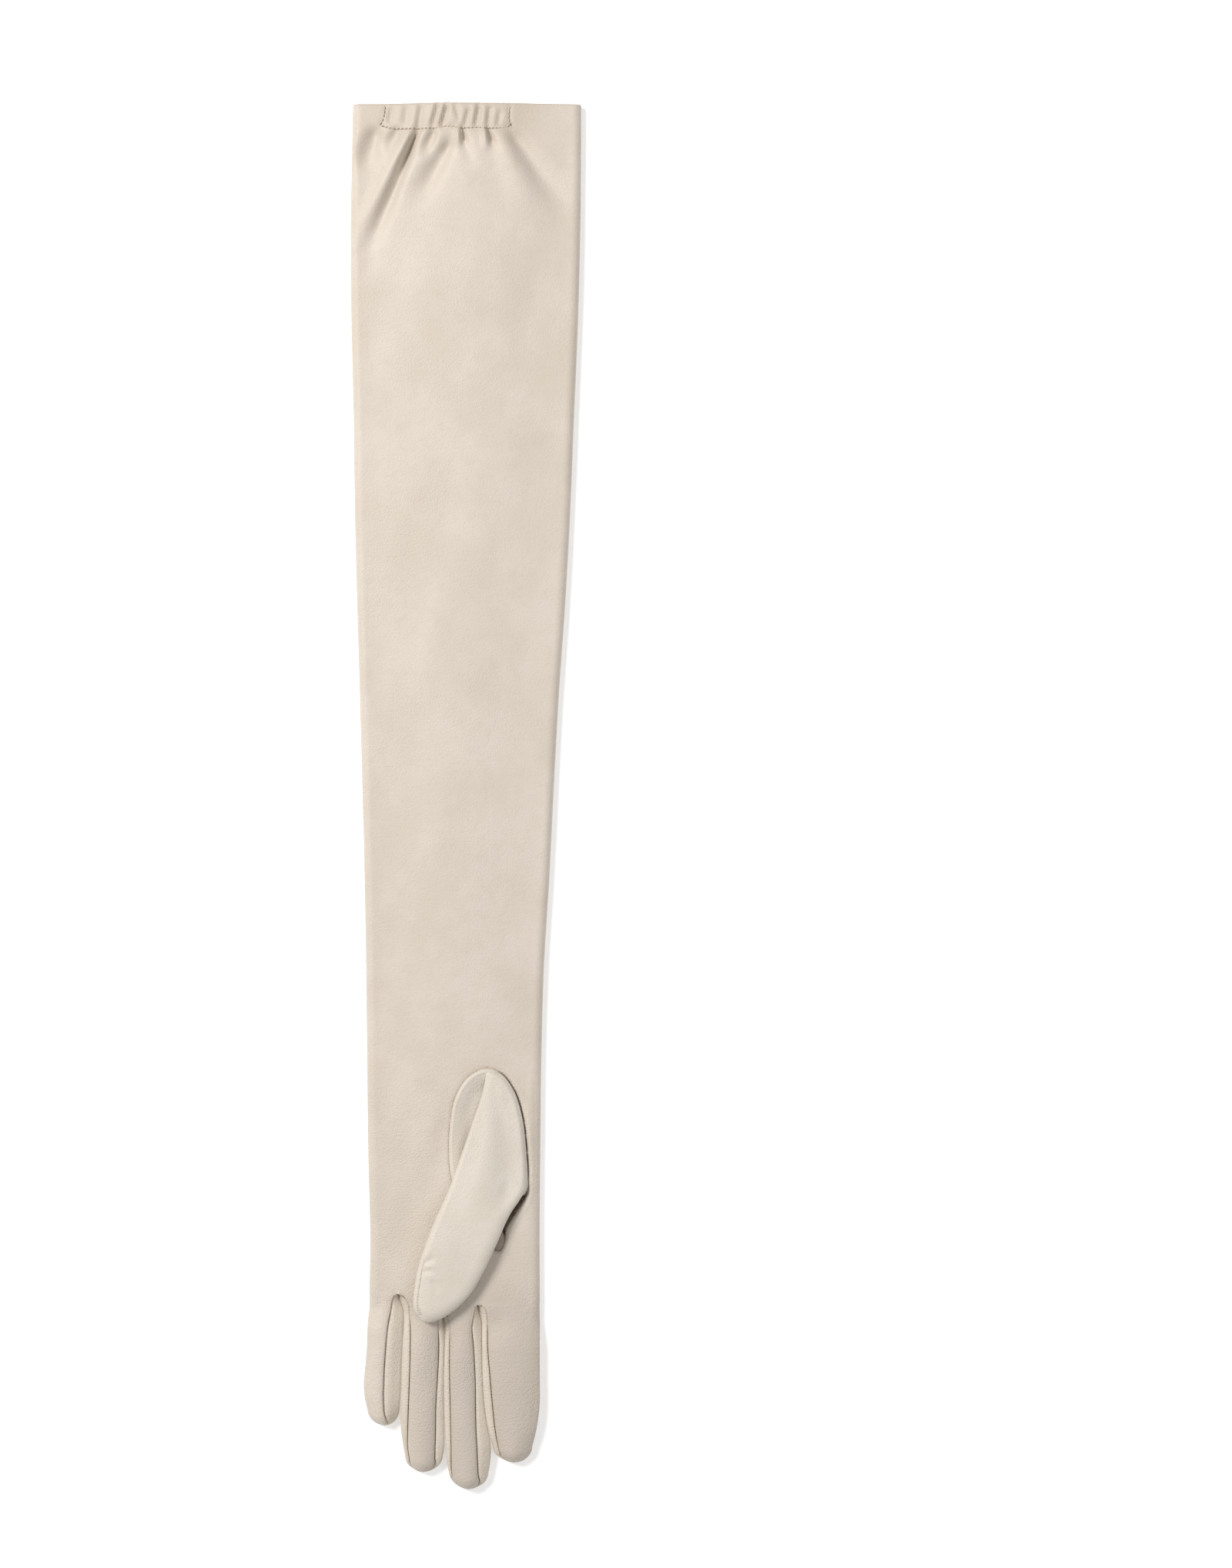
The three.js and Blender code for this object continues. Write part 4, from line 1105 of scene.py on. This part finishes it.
def relieved_skin(sizes):
    """The skin with its folds, rolls and grooves, and the piece of each face."""
    hand, points, faces, owners, nodes, seams = hand_skin(sizes)
    hole = smooth_line(hand.thumb_plan(THUMB_HOLE), 120, closed=True)
    near = np.flatnonzero(
        (points[:, 2] > 0.5 * sizes.folded_edge)
        & (np.abs(points[:, 0] - hand.thumb_x) < 0.7 * sizes.thumb_width)
        & (points[:, 1] < hand.thumb_y + 5 * MM)
        & (points[:, 1] > hand.thumb_y - 0.85 * sizes.thumb_span)
    )
    gap, away = signed_distance(points[near, 0], points[near, 1], hole)
    snap = np.abs(gap) < HOLE_SNAP
    points[near[snap], :2] -= away[snap]
    gap[snap] = 0
    hole_gap = np.full(len(points), 20 * MM)
    hole_gap[near] = gap
    normals = point_normals(points, faces)
    distance, along = seam_field(points, seams + [back_seam(hand)])
    firm = hand.firmness(points)
    push = firm * seam_roll(distance, sizes.seam_depth)
    rim = np.column_stack([hole, hand.skin_top(hole[:, 0], hole[:, 1])])
    rim_distance, rim_along = seam_field(points[near], [rim])
    rim_distance = np.maximum(rim_distance - RIM_LINE, 0)
    closer = rim_distance < distance[near]
    distance[near[closer]] = rim_distance[closer]
    along[near[closer]] = rim_along[closer]
    points += normals * push[:, None]
    x, y = points[:, 0], points[:, 1]
    arm = ease(y, hand.knuckle_y - 20 * MM, hand.knuckle_y + 20 * MM)
    thumb_corner, thumb_unit = (hand.thumb_x, hand.thumb_y), (sizes.thumb_width, sizes.thumb_span)
    lift = cuff_lift(hand, x, y)
    lift += sizes.fold_depth * folds(x, y, PALM_FOLDS, thumb_corner, thumb_unit, 0.5)
    lift += swell(x, y, 4, 0.18 * MM, 34 * MM)
    lift += swell(x, y, 9, 0.13 * MM, 13 * MM) * (1 - 0.5 * arm)
    lift += hole_lip(hole_gap, points, hand)
    points[:, 2] += lift * ease(points[:, 2], 0.45 * sizes.folded_edge, 0.9 * sizes.folded_edge)
    keep = hole_gap[faces].max(axis=1) >= -2.6 * MM
    slit_gap = np.abs(y - np.interp(x, hand.crotch_x, hand.crotch_y))
    stitch_gap, stitch_run = casing_gap(hand, x, y)
    values = {
        "seam_distance": distance + 0.14 * MM * bell(slit_gap, 6 * MM),
        "seam_along": along,
        "stitch_distance": np.where(points[:, 2] > 0.5 * sizes.folded_edge, stitch_gap, SEAM_REACH),
        "stitch_along": stitch_run,
        "firm": firm,
        # Painted shade on the palm's edge inside the open part of the thumb's hole.
        "hollow": hollow_share(hand, points) * ease(-hole_gap, 0.1 * MM, 1.2 * MM),
        **wear_and_painted_shade(hand, x, y),
    }
    return points, faces[keep], owners[keep], nodes, values


def wear_and_painted_shade(hand, x, y):
    """How worn the leather is, and the painted shade over the casing band and the fingers, each from 0 to
    1.
    """
    sizes = hand.sizes
    below_cuff, below_thumb, past_knuckles = CUFF_Y - y, hand.thumb_y - y, hand.knuckle_y - y
    beside = np.abs(x - sizes.casing_shift)
    # Painted shade over the casing band, fading out below it and past its ends.
    gathered = 1 - ease(below_cuff, 0.8 * sizes.casing_drop, 2.2 * sizes.casing_drop)
    gathered *= 1 - ease(beside, 0.5 * sizes.casing_width, 0.75 * sizes.casing_width)
    worn = 0.65 * ease(below_thumb, -10 * MM, 40 * MM) + 0.35 * ease(past_knuckles, -10 * MM, 25 * MM)
    # Painted shade over the fingers past the knuckles, none on the little finger.
    painted_finger_shade = ease(past_knuckles, -20 * MM, 14 * MM)
    painted_finger_shade *= ease(x - hand.palm_left, 0.1 * sizes.palm_width, 0.4 * sizes.palm_width)
    return {"gathered": gathered, "worn": worn, "painted_finger_shade": painted_finger_shade}


def hollow_share(hand, points):
    """0 where the thumb is sewn flat to the palm, 1 where its hole stands open, at its right and below;
    painted shade darkens the same places.
    """
    width, span = hand.sizes.thumb_width, hand.sizes.thumb_span
    across, down = points[:, 0] - hand.thumb_x, hand.thumb_y - points[:, 1]
    right = ease(across, 0.08 * width, 0.36 * width)
    below = ease(across, -0.15 * width, 0.02 * width) * ease(down, 0.55 * span, 0.63 * span)
    return np.maximum(right, below)


def hole_lip(gap, points, hand):
    """The palm's leather rolls down into the seam round the thumb's hole, deeper where it is open."""
    hollow = hollow_share(hand, points)
    reach = lerp(0.85 * MM, 1.2 * MM, hollow)
    roll = 0.8 * MM * bell(np.maximum(gap, 0), reach, 1.6)
    sunk = lerp(1.6 * MM, 4.4 * MM, hollow) * ease(-gap, 0, 0.6 * MM)
    ridge = 0.3 * MM * hollow * bell(gap - 2.2 * MM, 1.3 * MM)
    return ridge - roll - sunk


def metres(name, description, default):
    """A length in the panel."""
    return bpy.props.FloatProperty(
        name=name, description=description, default=default, unit="LENGTH", precision=5
    )


def rgb(name, description, default):
    """A colour in the panel."""
    return bpy.props.FloatVectorProperty(
        name=name, description=description, default=default, subtype="COLOR", size=3, min=0, max=1
    )


class GloveSizes(bpy.types.PropertyGroup):
    """Sizes of the glove."""

    arm_length: metres("Arm length", "From the cuff to the knuckles", 0.561)
    cuff_width: metres("Cuff width", "Across the flat cuff", 0.1074)
    palm_width: metres("Palm width", "Across the flat palm", 0.08)
    little_reach: metres("Little finger", "From the knuckles to the tip", 0.059)
    ring_reach: metres("Ring finger", "From the knuckles to the tip", 0.081)
    middle_reach: metres("Middle finger", "From the knuckles to the tip", 0.089)
    index_reach: metres("Index finger", "From the knuckles to the tip", 0.0765)
    thumb_rise: metres("Thumb rise", "From the knuckles to the top of the thumb's hole", 0.1085)
    thumb_span: metres("Thumb span", "From the top of its hole to its tip", 0.118)
    thumb_width: metres("Thumb width", "Across the lying thumb", 0.035)
    thumb_depth: metres("Thumb depth", "Thickness of the lying thumb", 0.0078)
    sleeve_depth: metres("Sleeve depth", "Thickness of the lying sleeve", 0.009)
    mouth_depth: metres("Mouth depth", "Thickness of the gathered mouth", 0.011)
    folded_edge: metres("Folded edge", "Thickness at the folded edges", 0.007)
    finger_depth: metres("Finger depth", "Thickness of a lying finger", 0.0102)
    leather: metres("Leather", "Thickness of the leather", 0.001)
    seam_depth: metres("Seam depth", "How far the leather rolls down into a seam", 0.0012)
    casing_width: metres("Casing width", "Width of the stitched casing", 0.0615)
    casing_drop: metres("Casing drop", "Height of the stitched casing", 0.011)
    casing_shift: metres("Casing shift", "Casing's middle from the glove's middle", -0.009)
    gather_reach: metres("Gather reach", "How far the folds run from the cuff", 0.07)
    fold_depth: metres("Fold depth", "Depth of the deepest fold", 0.0034)


class GloveLooks(bpy.types.PropertyGroup):
    """Colours and grain of the leather."""

    trank: rgb("Trank", "Leather of the sleeve and palm", (0.665, 0.594, 0.517))
    fourchette: rgb("Fourchettes", "Leather between the fingers", (0.69, 0.618, 0.53))
    thumb: rgb("Thumb", "Leather of the thumb", (0.71, 0.65, 0.572))
    thread: rgb("Thread", "Sewing thread of the cuff", (0.8, 0.74, 0.62))
    floor: rgb("Floor", "Table under the glove", (0.82, 0.82, 0.82))
    grain_size: metres("Grain size", "Width of a pebble of the grain", 0.0008)
    grain_height: metres("Grain height", "Height of the grain", 0.0002)
    stitch_pitch: metres("Stitch pitch", "Length of a stitch in the seams", 0.0014)
    cuff_stitch: metres("Cuff stitch", "Length of a stitch round the casing", 0.00185)


class GLOVE_OT_trank(bpy.types.Operator):
    """Makes the trank: sleeve, palm, back and the fingers' panels"""

    bl_idname = "glove.trank"
    bl_label = "Make trank"

    def execute(self, context):
        sizes, looks = context.scene.glove_sizes, context.scene.glove_looks
        points, faces, owners, _, values = relieved_skin(sizes)
        piece = make_piece("trank_skin", points, faces[owners == 0], values)
        thicken(piece, sizes.leather)
        settle(piece, "trank", leather("trank leather", looks.trank, looks, stitched=True))
        return {"FINISHED"}


class GLOVE_OT_fourchettes(bpy.types.Operator):
    """Makes the six strips between the fingers"""

    bl_idname = "glove.fourchettes"
    bl_label = "Make fourchettes"

    def execute(self, context):
        sizes, looks = context.scene.glove_sizes, context.scene.glove_looks
        points, faces, owners, nodes, values = relieved_skin(sizes)
        material = leather("fourchette leather", looks.fourchette, looks)
        for number, node in enumerate(nodes[1:], start=1):
            piece = make_piece(node + "_skin", points, faces[owners == number], values)
            thicken(piece, sizes.leather)
            settle(piece, node, material)
        return {"FINISHED"}


def thumb_rings(hand):
    """Rings of the thumb's stall down to its tip, the columns on its upper side, and the rings' shares."""
    sizes = hand.sizes
    tip_shares = 0.86 + 0.135 * np.sin(np.linspace(0, math.pi / 2, 20)[1:])
    shares = np.concatenate([[0.002, 0.005, 0.009], np.linspace(0.014, 0.86, 130), tip_shares])
    fold = along_line(smooth_line(hand.thumb_plan(THUMB_FOLD), 400), shares)
    edge = along_line(smooth_line(hand.thumb_plan(THUMB_EDGE), 400), shares)
    tip = np.array(hand.thumb_plan(THUMB_FOLD[-1:])[0])
    over, under = 68, 20
    rings = []
    for share, left, right in zip(shares, fold, edge):
        width = np.linalg.norm(right - left)
        across = (right - left) / width
        middle = (left + right) / 2
        remaining = np.linalg.norm(tip - middle)
        thick = THUMB.read("thick", share) * sizes.thumb_depth
        held = THUMB.read("held", share)
        palm = hand.skin_top(middle[0], middle[1])
        foot = palm + THUMB_HOVER
        closing = bulge(np.clip(min(remaining, width) / (0.8 * sizes.thumb_depth), 0, 1))
        round_left = min(0.3 * thick + 0.3 * MM, 0.48 * width)
        round_right = min(lerp(0.72 * sizes.thumb_depth, 2.2 * MM, held), 0.48 * width)
        x, rise = half_section(0, width, round_left, round_right)
        mid_left = foot + 0.42 * thick
        mid_right = lerp(foot + 0.5 * thick + 0.4 * MM, palm - 0.9 * MM, held)
        mid = lerp(mid_left, mid_right, ease(x / width))
        shelf = lerp(thick, 0.3 * thick + 0.7 * MM, held * ease(x / width, 0.3, 0.85))
        top = foot + shelf + 0.5 * MM * crown(x, 0, width, 0) * closing
        up = along_section(x, mid + (top - mid) * rise * closing, spread(over, 1.5))
        x, rise = half_section(0, width, 0.6 * round_left, 0.6 * round_right)
        mid = lerp(mid_left, mid_right, ease(x / width))
        sole = foot - 0.2 * MM * held
        low = along_section(x, mid - (mid - sole) * rise * closing, spread(under, 1.0))
        ring_s = np.concatenate([up[0], low[0][-2:0:-1]])
        ring_z = np.concatenate([up[1], low[1][-2:0:-1]])
        plan = left + ring_s[:, None] * across
        rings.append(np.column_stack([plan, ring_z]))
    for end in (0, -1):
        rings[end] = pinched(rings[end])
    return np.array(rings), over, shares


def apron_rings(hand):
    """Rings of the leather round the thumb's hole, from its seam towards its middle."""
    outline = smooth_line(hand.thumb_plan(THUMB_HOLE), 150, closed=True)[:-1]
    spine = np.array(hand.thumb_plan([(0.06, 0.16), (0.04, 0.52)]))
    run = spine[1] - spine[0]
    share = np.clip((outline - spine[0]) @ run / (run @ run), 0, 1)
    target = spine[0] + share[:, None] * run
    reach = np.linalg.norm(target - outline, axis=1)
    right = hollow_share(hand, outline)
    rings = []
    for depth in np.concatenate([np.linspace(0, 2.4, 11), np.linspace(3.0, 14, 16)]) * MM:
        inward = np.minimum(depth, 0.985 * reach) / reach
        plan = outline + (target - outline) * inward[:, None]
        palm = hand.skin_top(*plan.T)
        ridge = 0.22 * MM * bell(depth - 0.8 * MM, 0.7 * MM)
        root = 1.3 * MM * bell(depth, 0.4 * MM)
        sunk = 0.1 * MM + 2.2 * MM * ease(depth, 0.7 * MM, 9 * MM)
        z = palm + (ridge - root - sunk) * (1 - right) - 4.5 * MM * right
        rings.append(np.column_stack([plan, z]))
    return np.array(rings)


def tip_seam(hand, top):
    """The stall's closing seam, laid on the points of its upper side beside the tip's left edge."""
    plan = smooth_line(hand.thumb_plan(TIP_SEAM), 60)
    gaps = np.linalg.norm(plan[:, None] - top[None, :, :2], axis=2)
    return np.column_stack([plan, top[gaps.argmin(axis=1), 2]])


def stall_skin(hand):
    """The thumb's stall with its seam, swells and creases: points, faces and numbers of the points."""
    sizes = hand.sizes
    rings, over, shares = thumb_rings(hand)
    columns = rings.shape[1]
    faces, column, row = ring_faces(len(rings), columns)
    opened = (column > over + 2) & (column < columns - 2)
    opened &= (shares[row] > STALL_OPEN[0]) & (shares[row] < STALL_OPEN[1])
    points = rings.reshape(-1, 3)
    x, y = points[:, 0], points[:, 1]
    upper = np.tile(np.arange(columns) <= over, len(rings))
    distance, along = seam_field(points, [tip_seam(hand, points[upper])])
    push = seam_roll(distance, sizes.seam_depth) + swell(x, y, 21, 0.2 * MM, 26 * MM)
    push *= ease(np.repeat(shares, columns), 0.0, 0.03)
    corner, unit = (hand.thumb_x, hand.thumb_y), (sizes.thumb_width, sizes.thumb_span)
    push += sizes.fold_depth * folds(x, y, THUMB_CREASES, corner, unit, 0.5) * upper
    ends = 0.1 + 0.9 * ease(shares, 0.004, 0.06) * (1 - ease(shares, 0.97, 0.994))
    values = {
        "seam_distance": distance,
        "seam_along": along,
        "hollow": np.zeros(len(points)),
        "firm": np.repeat(ends, columns),
    }
    return points + point_normals(points, faces) * push[:, None], faces[~opened], values


def apron_skin(hand):
    """The leather round the thumb's hole: points, faces and numbers of the points."""
    rings = apron_rings(hand)
    faces, _, _ = ring_faces(len(rings), rings.shape[1])
    points = rings.reshape(-1, 3)
    distance, along = seam_field(points, [closed_up(rings[0])])
    values = {
        "seam_distance": distance,
        "seam_along": along,
        # Painted shade where this leather sinks under the open side of the thumb, at its right and below.
        "hollow": hollow_share(hand, points),
        "firm": np.ones(len(points)),
    }
    return points, faces[:, ::-1], values


class GLOVE_OT_thumb(bpy.types.Operator):
    """Makes the thumb's stall and the leather round its hole"""

    bl_idname = "glove.thumb"
    bl_label = "Make thumb"

    def execute(self, context):
        sizes, looks = context.scene.glove_sizes, context.scene.glove_looks
        hand = Hand(sizes)
        stall, stall_faces, stall_values = stall_skin(hand)
        apron, apron_faces, apron_values = apron_skin(hand)
        points = np.concatenate([stall, apron])
        faces = np.concatenate([stall_faces, apron_faces + len(stall)])
        values = {key: np.concatenate([stall_values[key], apron_values[key]]) for key in stall_values}
        values["worn"] = np.full(len(points), 0.2)
        piece = make_piece("thumb_skin", points, faces, values)
        thicken(piece, 0.8 * sizes.leather)
        settle(piece, "thumb", leather("thumb leather", looks.thumb, looks))
        return {"FINISHED"}


class GLOVE_OT_quirk(bpy.types.Operator):
    """Makes the small leaf of leather at the lower end of the thumb's hole"""

    bl_idname = "glove.quirk"
    bl_label = "Make quirk"

    def execute(self, context):
        sizes, looks = context.scene.glove_sizes, context.scene.glove_looks
        hand = Hand(sizes)
        outline = smooth_line(hand.thumb_plan(QUIRK_LEAF), 40, closed=True)[:-1]
        middle = outline.mean(axis=0)
        rings = []
        for depth in (0.0, 0.1, 0.22, 0.38, 0.56, 0.76, 0.96):
            plan = lerp(outline, middle, depth)
            z = hand.skin_top(*plan.T) - QUIRK_SUNK + QUIRK_RISE * bulge(min(1.6 * depth, 1.0))
            rings.append(np.column_stack([plan, z]))
        rings.append(pinched(rings[-1]))
        rings = np.array(rings)
        faces, _, _ = ring_faces(len(rings), rings.shape[1])
        points = rings.reshape(-1, 3)
        distance, along = seam_field(points, [closed_up(rings[0])])
        distance = np.maximum(distance - 0.35 * MM, 0)
        # The whole leaf gets painted shade, as it lies in the thumb's shadow.
        values = {"seam_distance": distance, "seam_along": along, "hollow": np.full(len(points), 0.72)}
        piece = make_piece("thumb_quirk_skin", points, faces[:, ::-1], values)
        thicken(piece, 0.7 * sizes.leather)
        settle(piece, "thumb_quirk", leather("quirk leather", looks.thumb, looks))
        return {"FINISHED"}


class GLOVE_OT_casing(bpy.types.Operator):
    """Makes the elastic's casing inside the cuff and the stitches that hold it"""

    bl_idname = "glove.casing"
    bl_label = "Make casing"

    def execute(self, context):
        sizes, looks = context.scene.glove_sizes, context.scene.glove_looks
        hand = Hand(sizes)
        left = sizes.casing_shift - sizes.casing_width / 2
        start = CUFF_Y - 0.8 * MM
        columns, rows = 200, 12
        x, y = np.meshgrid(
            np.linspace(left, left + sizes.casing_width, columns + 1),
            np.linspace(start, start - sizes.casing_drop, rows + 1),
        )
        z = hand.skin_top(x, y) + cuff_lift(hand, x, y).reshape(x.shape) - 1.25 * sizes.leather - 0.2 * MM
        points = np.stack([x, y, z], axis=-1).reshape(-1, 3)
        row, column = np.meshgrid(np.arange(rows), np.arange(columns), indexing="ij")
        corner = (row * (columns + 1) + column).ravel()
        faces = np.stack([corner, corner + columns + 1, corner + columns + 2, corner + 1], axis=1)
        piece = make_piece("elastic_casing_strip", points, faces)
        thicken(piece, 0.9 * sizes.leather)
        material = leather("casing leather", looks.fourchette, looks, seamed=False)
        settle(piece, "elastic_casing", material)
        self.stitches(hand, looks)
        return {"FINISHED"}

    def stitches(self, hand, looks):
        """Short threads over the casing's stitched lines, heavier on its lower side."""
        pitch, reach = looks.cuff_stitch, 0.68 * looks.cuff_stitch
        steps = np.linspace(-1, 1, 7)
        arch = np.sin(np.linspace(0, math.pi, 7))
        ends = ease(np.abs(steps), 0.45, 0.75)
        points, faces, dives = [], [], []
        for number, line in enumerate(casing_seams(hand)):
            size = np.linalg.norm(np.diff(line, axis=0), axis=1).sum()
            # dive is painted shade towards each stitch's ends, where it sinks into the leather; the end
            # rows are darker all along.
            radius, dive = (0.3 * MM, ends) if number == 1 else (0.2 * MM, 0.55 + 0.45 * ends)
            for i in range(int(size / pitch)):
                places = (i + 0.5) * pitch + steps / 2 * reach
                spine = along_line(line, np.clip(places / size, 0, 1))
                base = hand.skin_top(*spine.T) + cuff_lift(hand, *spine.T)
                centre = np.column_stack([spine, base + 0.12 * MM + 0.34 * MM * arch])
                ring = self.bead(centre, radius)
                around, _, _ = ring_faces(*ring.shape[:2], sum(len(part) for part in points))
                points.append(ring.reshape(-1, 3))
                faces.append(around)
                dives.append(np.repeat(dive, ring.shape[1]))
        values = {"dive": np.concatenate(dives)}
        piece = make_piece("casing_stitches", np.concatenate(points), np.concatenate(faces), values)
        settle(piece, None, thread("casing thread", looks.thread))

    def bead(self, centre, radius):
        """Rings of a short thread along its middle line."""
        along = np.gradient(centre, axis=0)
        along /= np.linalg.norm(along, axis=1, keepdims=True)
        aside = np.cross(along, [0, 0, 1.0])
        aside /= np.linalg.norm(aside, axis=1, keepdims=True)
        upward = np.cross(aside, along)
        thick = radius * np.sqrt(1 - np.linspace(-1, 1, len(centre)) ** 2)
        turn = np.linspace(0, 2 * math.pi, 8, endpoint=False)
        sides = np.cos(turn)[:, None] * aside[:, None] + np.sin(turn)[:, None] * upward[:, None]
        return centre[:, None] + sides * thick[:, None, None]


class GLOVE_OT_stage(bpy.types.Operator):
    """Sets the floor, the lights and the camera"""

    bl_idname = "glove.stage"
    bl_label = "Set stage"

    def execute(self, context):
        looks = context.scene.glove_looks
        scene = context.scene
        scene.view_settings.view_transform = "Standard"
        bpy.ops.mesh.primitive_plane_add(size=FLOOR_SIZE, location=(0, 0, 0))
        floor = context.active_object
        floor.name = "floor"
        tree = Tree("floor paint")
        cloud = tree.noise(tree.place(), 0.4, 2.0)
        tone = tree.mix(cloud * 0.3, (*looks.floor, 1), shade(looks.floor, 0.985))
        # The floor glows: painted light that washes out the glove's shadows on it.
        tree.shader.inputs["Emission Color"].default_value = (1, 1, 1, 1)
        tree.shader.inputs["Emission Strength"].default_value = FLOOR_GLOW
        floor.data.materials.append(tree.finish(tone, 0.7 + cloud * 0.05, tree.bump(0.05, 0.1 * MM, cloud)))
        self.lights(scene)
        self.camera(scene)
        return {"FINISHED"}

    def lights(self, scene):
        """An even white studio with a key light from the upper left and a weak fill light."""
        world = bpy.data.worlds.new("studio")
        world.use_nodes = True
        background = world.node_tree.nodes["Background"]
        background.inputs["Color"].default_value = (1.0, 1.0, 1.0, 1)
        background.inputs["Strength"].default_value = STUDIO_GLOW
        scene.world = world
        self.area("key_light", (-1.15, 0.8, 1.85), 0.8, KEY_POWER, (1.0, 0.99, 0.975))
        self.area("fill_light", (1.2, -0.6, 1.8), 1.4, FILL_POWER, (0.98, 0.99, 1.0))

    def area(self, name, place, size, power, colour):
        """A round lamp that looks at the glove's middle."""
        light = bpy.data.lights.new(name, "AREA")
        light.shape = "DISK"
        light.size = size
        light.energy = power
        light.color = colour
        lamp = bpy.data.objects.new(name, light)
        lamp.location = place
        lamp.rotation_euler = (-Vector(place)).to_track_quat("-Z", "Y").to_euler()
        bpy.context.scene.collection.objects.link(lamp)

    def camera(self, scene):
        """The photograph's camera, straight above the pair's middle."""
        camera = bpy.data.cameras.new("camera")
        camera.lens = 85
        camera.sensor_width = 36
        distance = FRAME_HEIGHT * camera.lens / camera.sensor_width
        viewer = bpy.data.objects.new("camera", camera)
        viewer.location = (*FRAME_MIDDLE, distance + 9 * MM)
        scene.collection.objects.link(viewer)
        scene.camera = viewer


class GLOVE_PT_panel(bpy.types.Panel):
    """Buttons that make the glove piece by piece"""

    bl_label = "Glove"
    bl_space_type = "VIEW_3D"
    bl_region_type = "UI"
    bl_category = "Glove"

    def draw(self, context):
        for operator in OPERATORS:
            self.layout.operator(operator.bl_idname)
        for group in (context.scene.glove_sizes, context.scene.glove_looks):
            for key in group.bl_rna.properties.keys():
                if key not in ("rna_type", "name"):
                    self.layout.prop(group, key)


OPERATORS = [
    GLOVE_OT_trank, GLOVE_OT_fourchettes, GLOVE_OT_thumb, GLOVE_OT_quirk, GLOVE_OT_casing, GLOVE_OT_stage,
]
CLASSES = [GloveSizes, GloveLooks, *OPERATORS, GLOVE_PT_panel]


def register():
    for entry in CLASSES:
        bpy.utils.register_class(entry)
    bpy.types.Scene.glove_sizes = bpy.props.PointerProperty(type=GloveSizes)
    bpy.types.Scene.glove_looks = bpy.props.PointerProperty(type=GloveLooks)


def unregister():
    del bpy.types.Scene.glove_looks
    del bpy.types.Scene.glove_sizes
    for entry in reversed(CLASSES):
        bpy.utils.unregister_class(entry)


def main():
    register()
    bpy.ops.glove.trank()
    bpy.ops.glove.fourchettes()
    bpy.ops.glove.thumb()
    bpy.ops.glove.quirk()
    bpy.ops.glove.casing()
    bpy.ops.glove.stage()


if __name__ == "__main__":
    main()
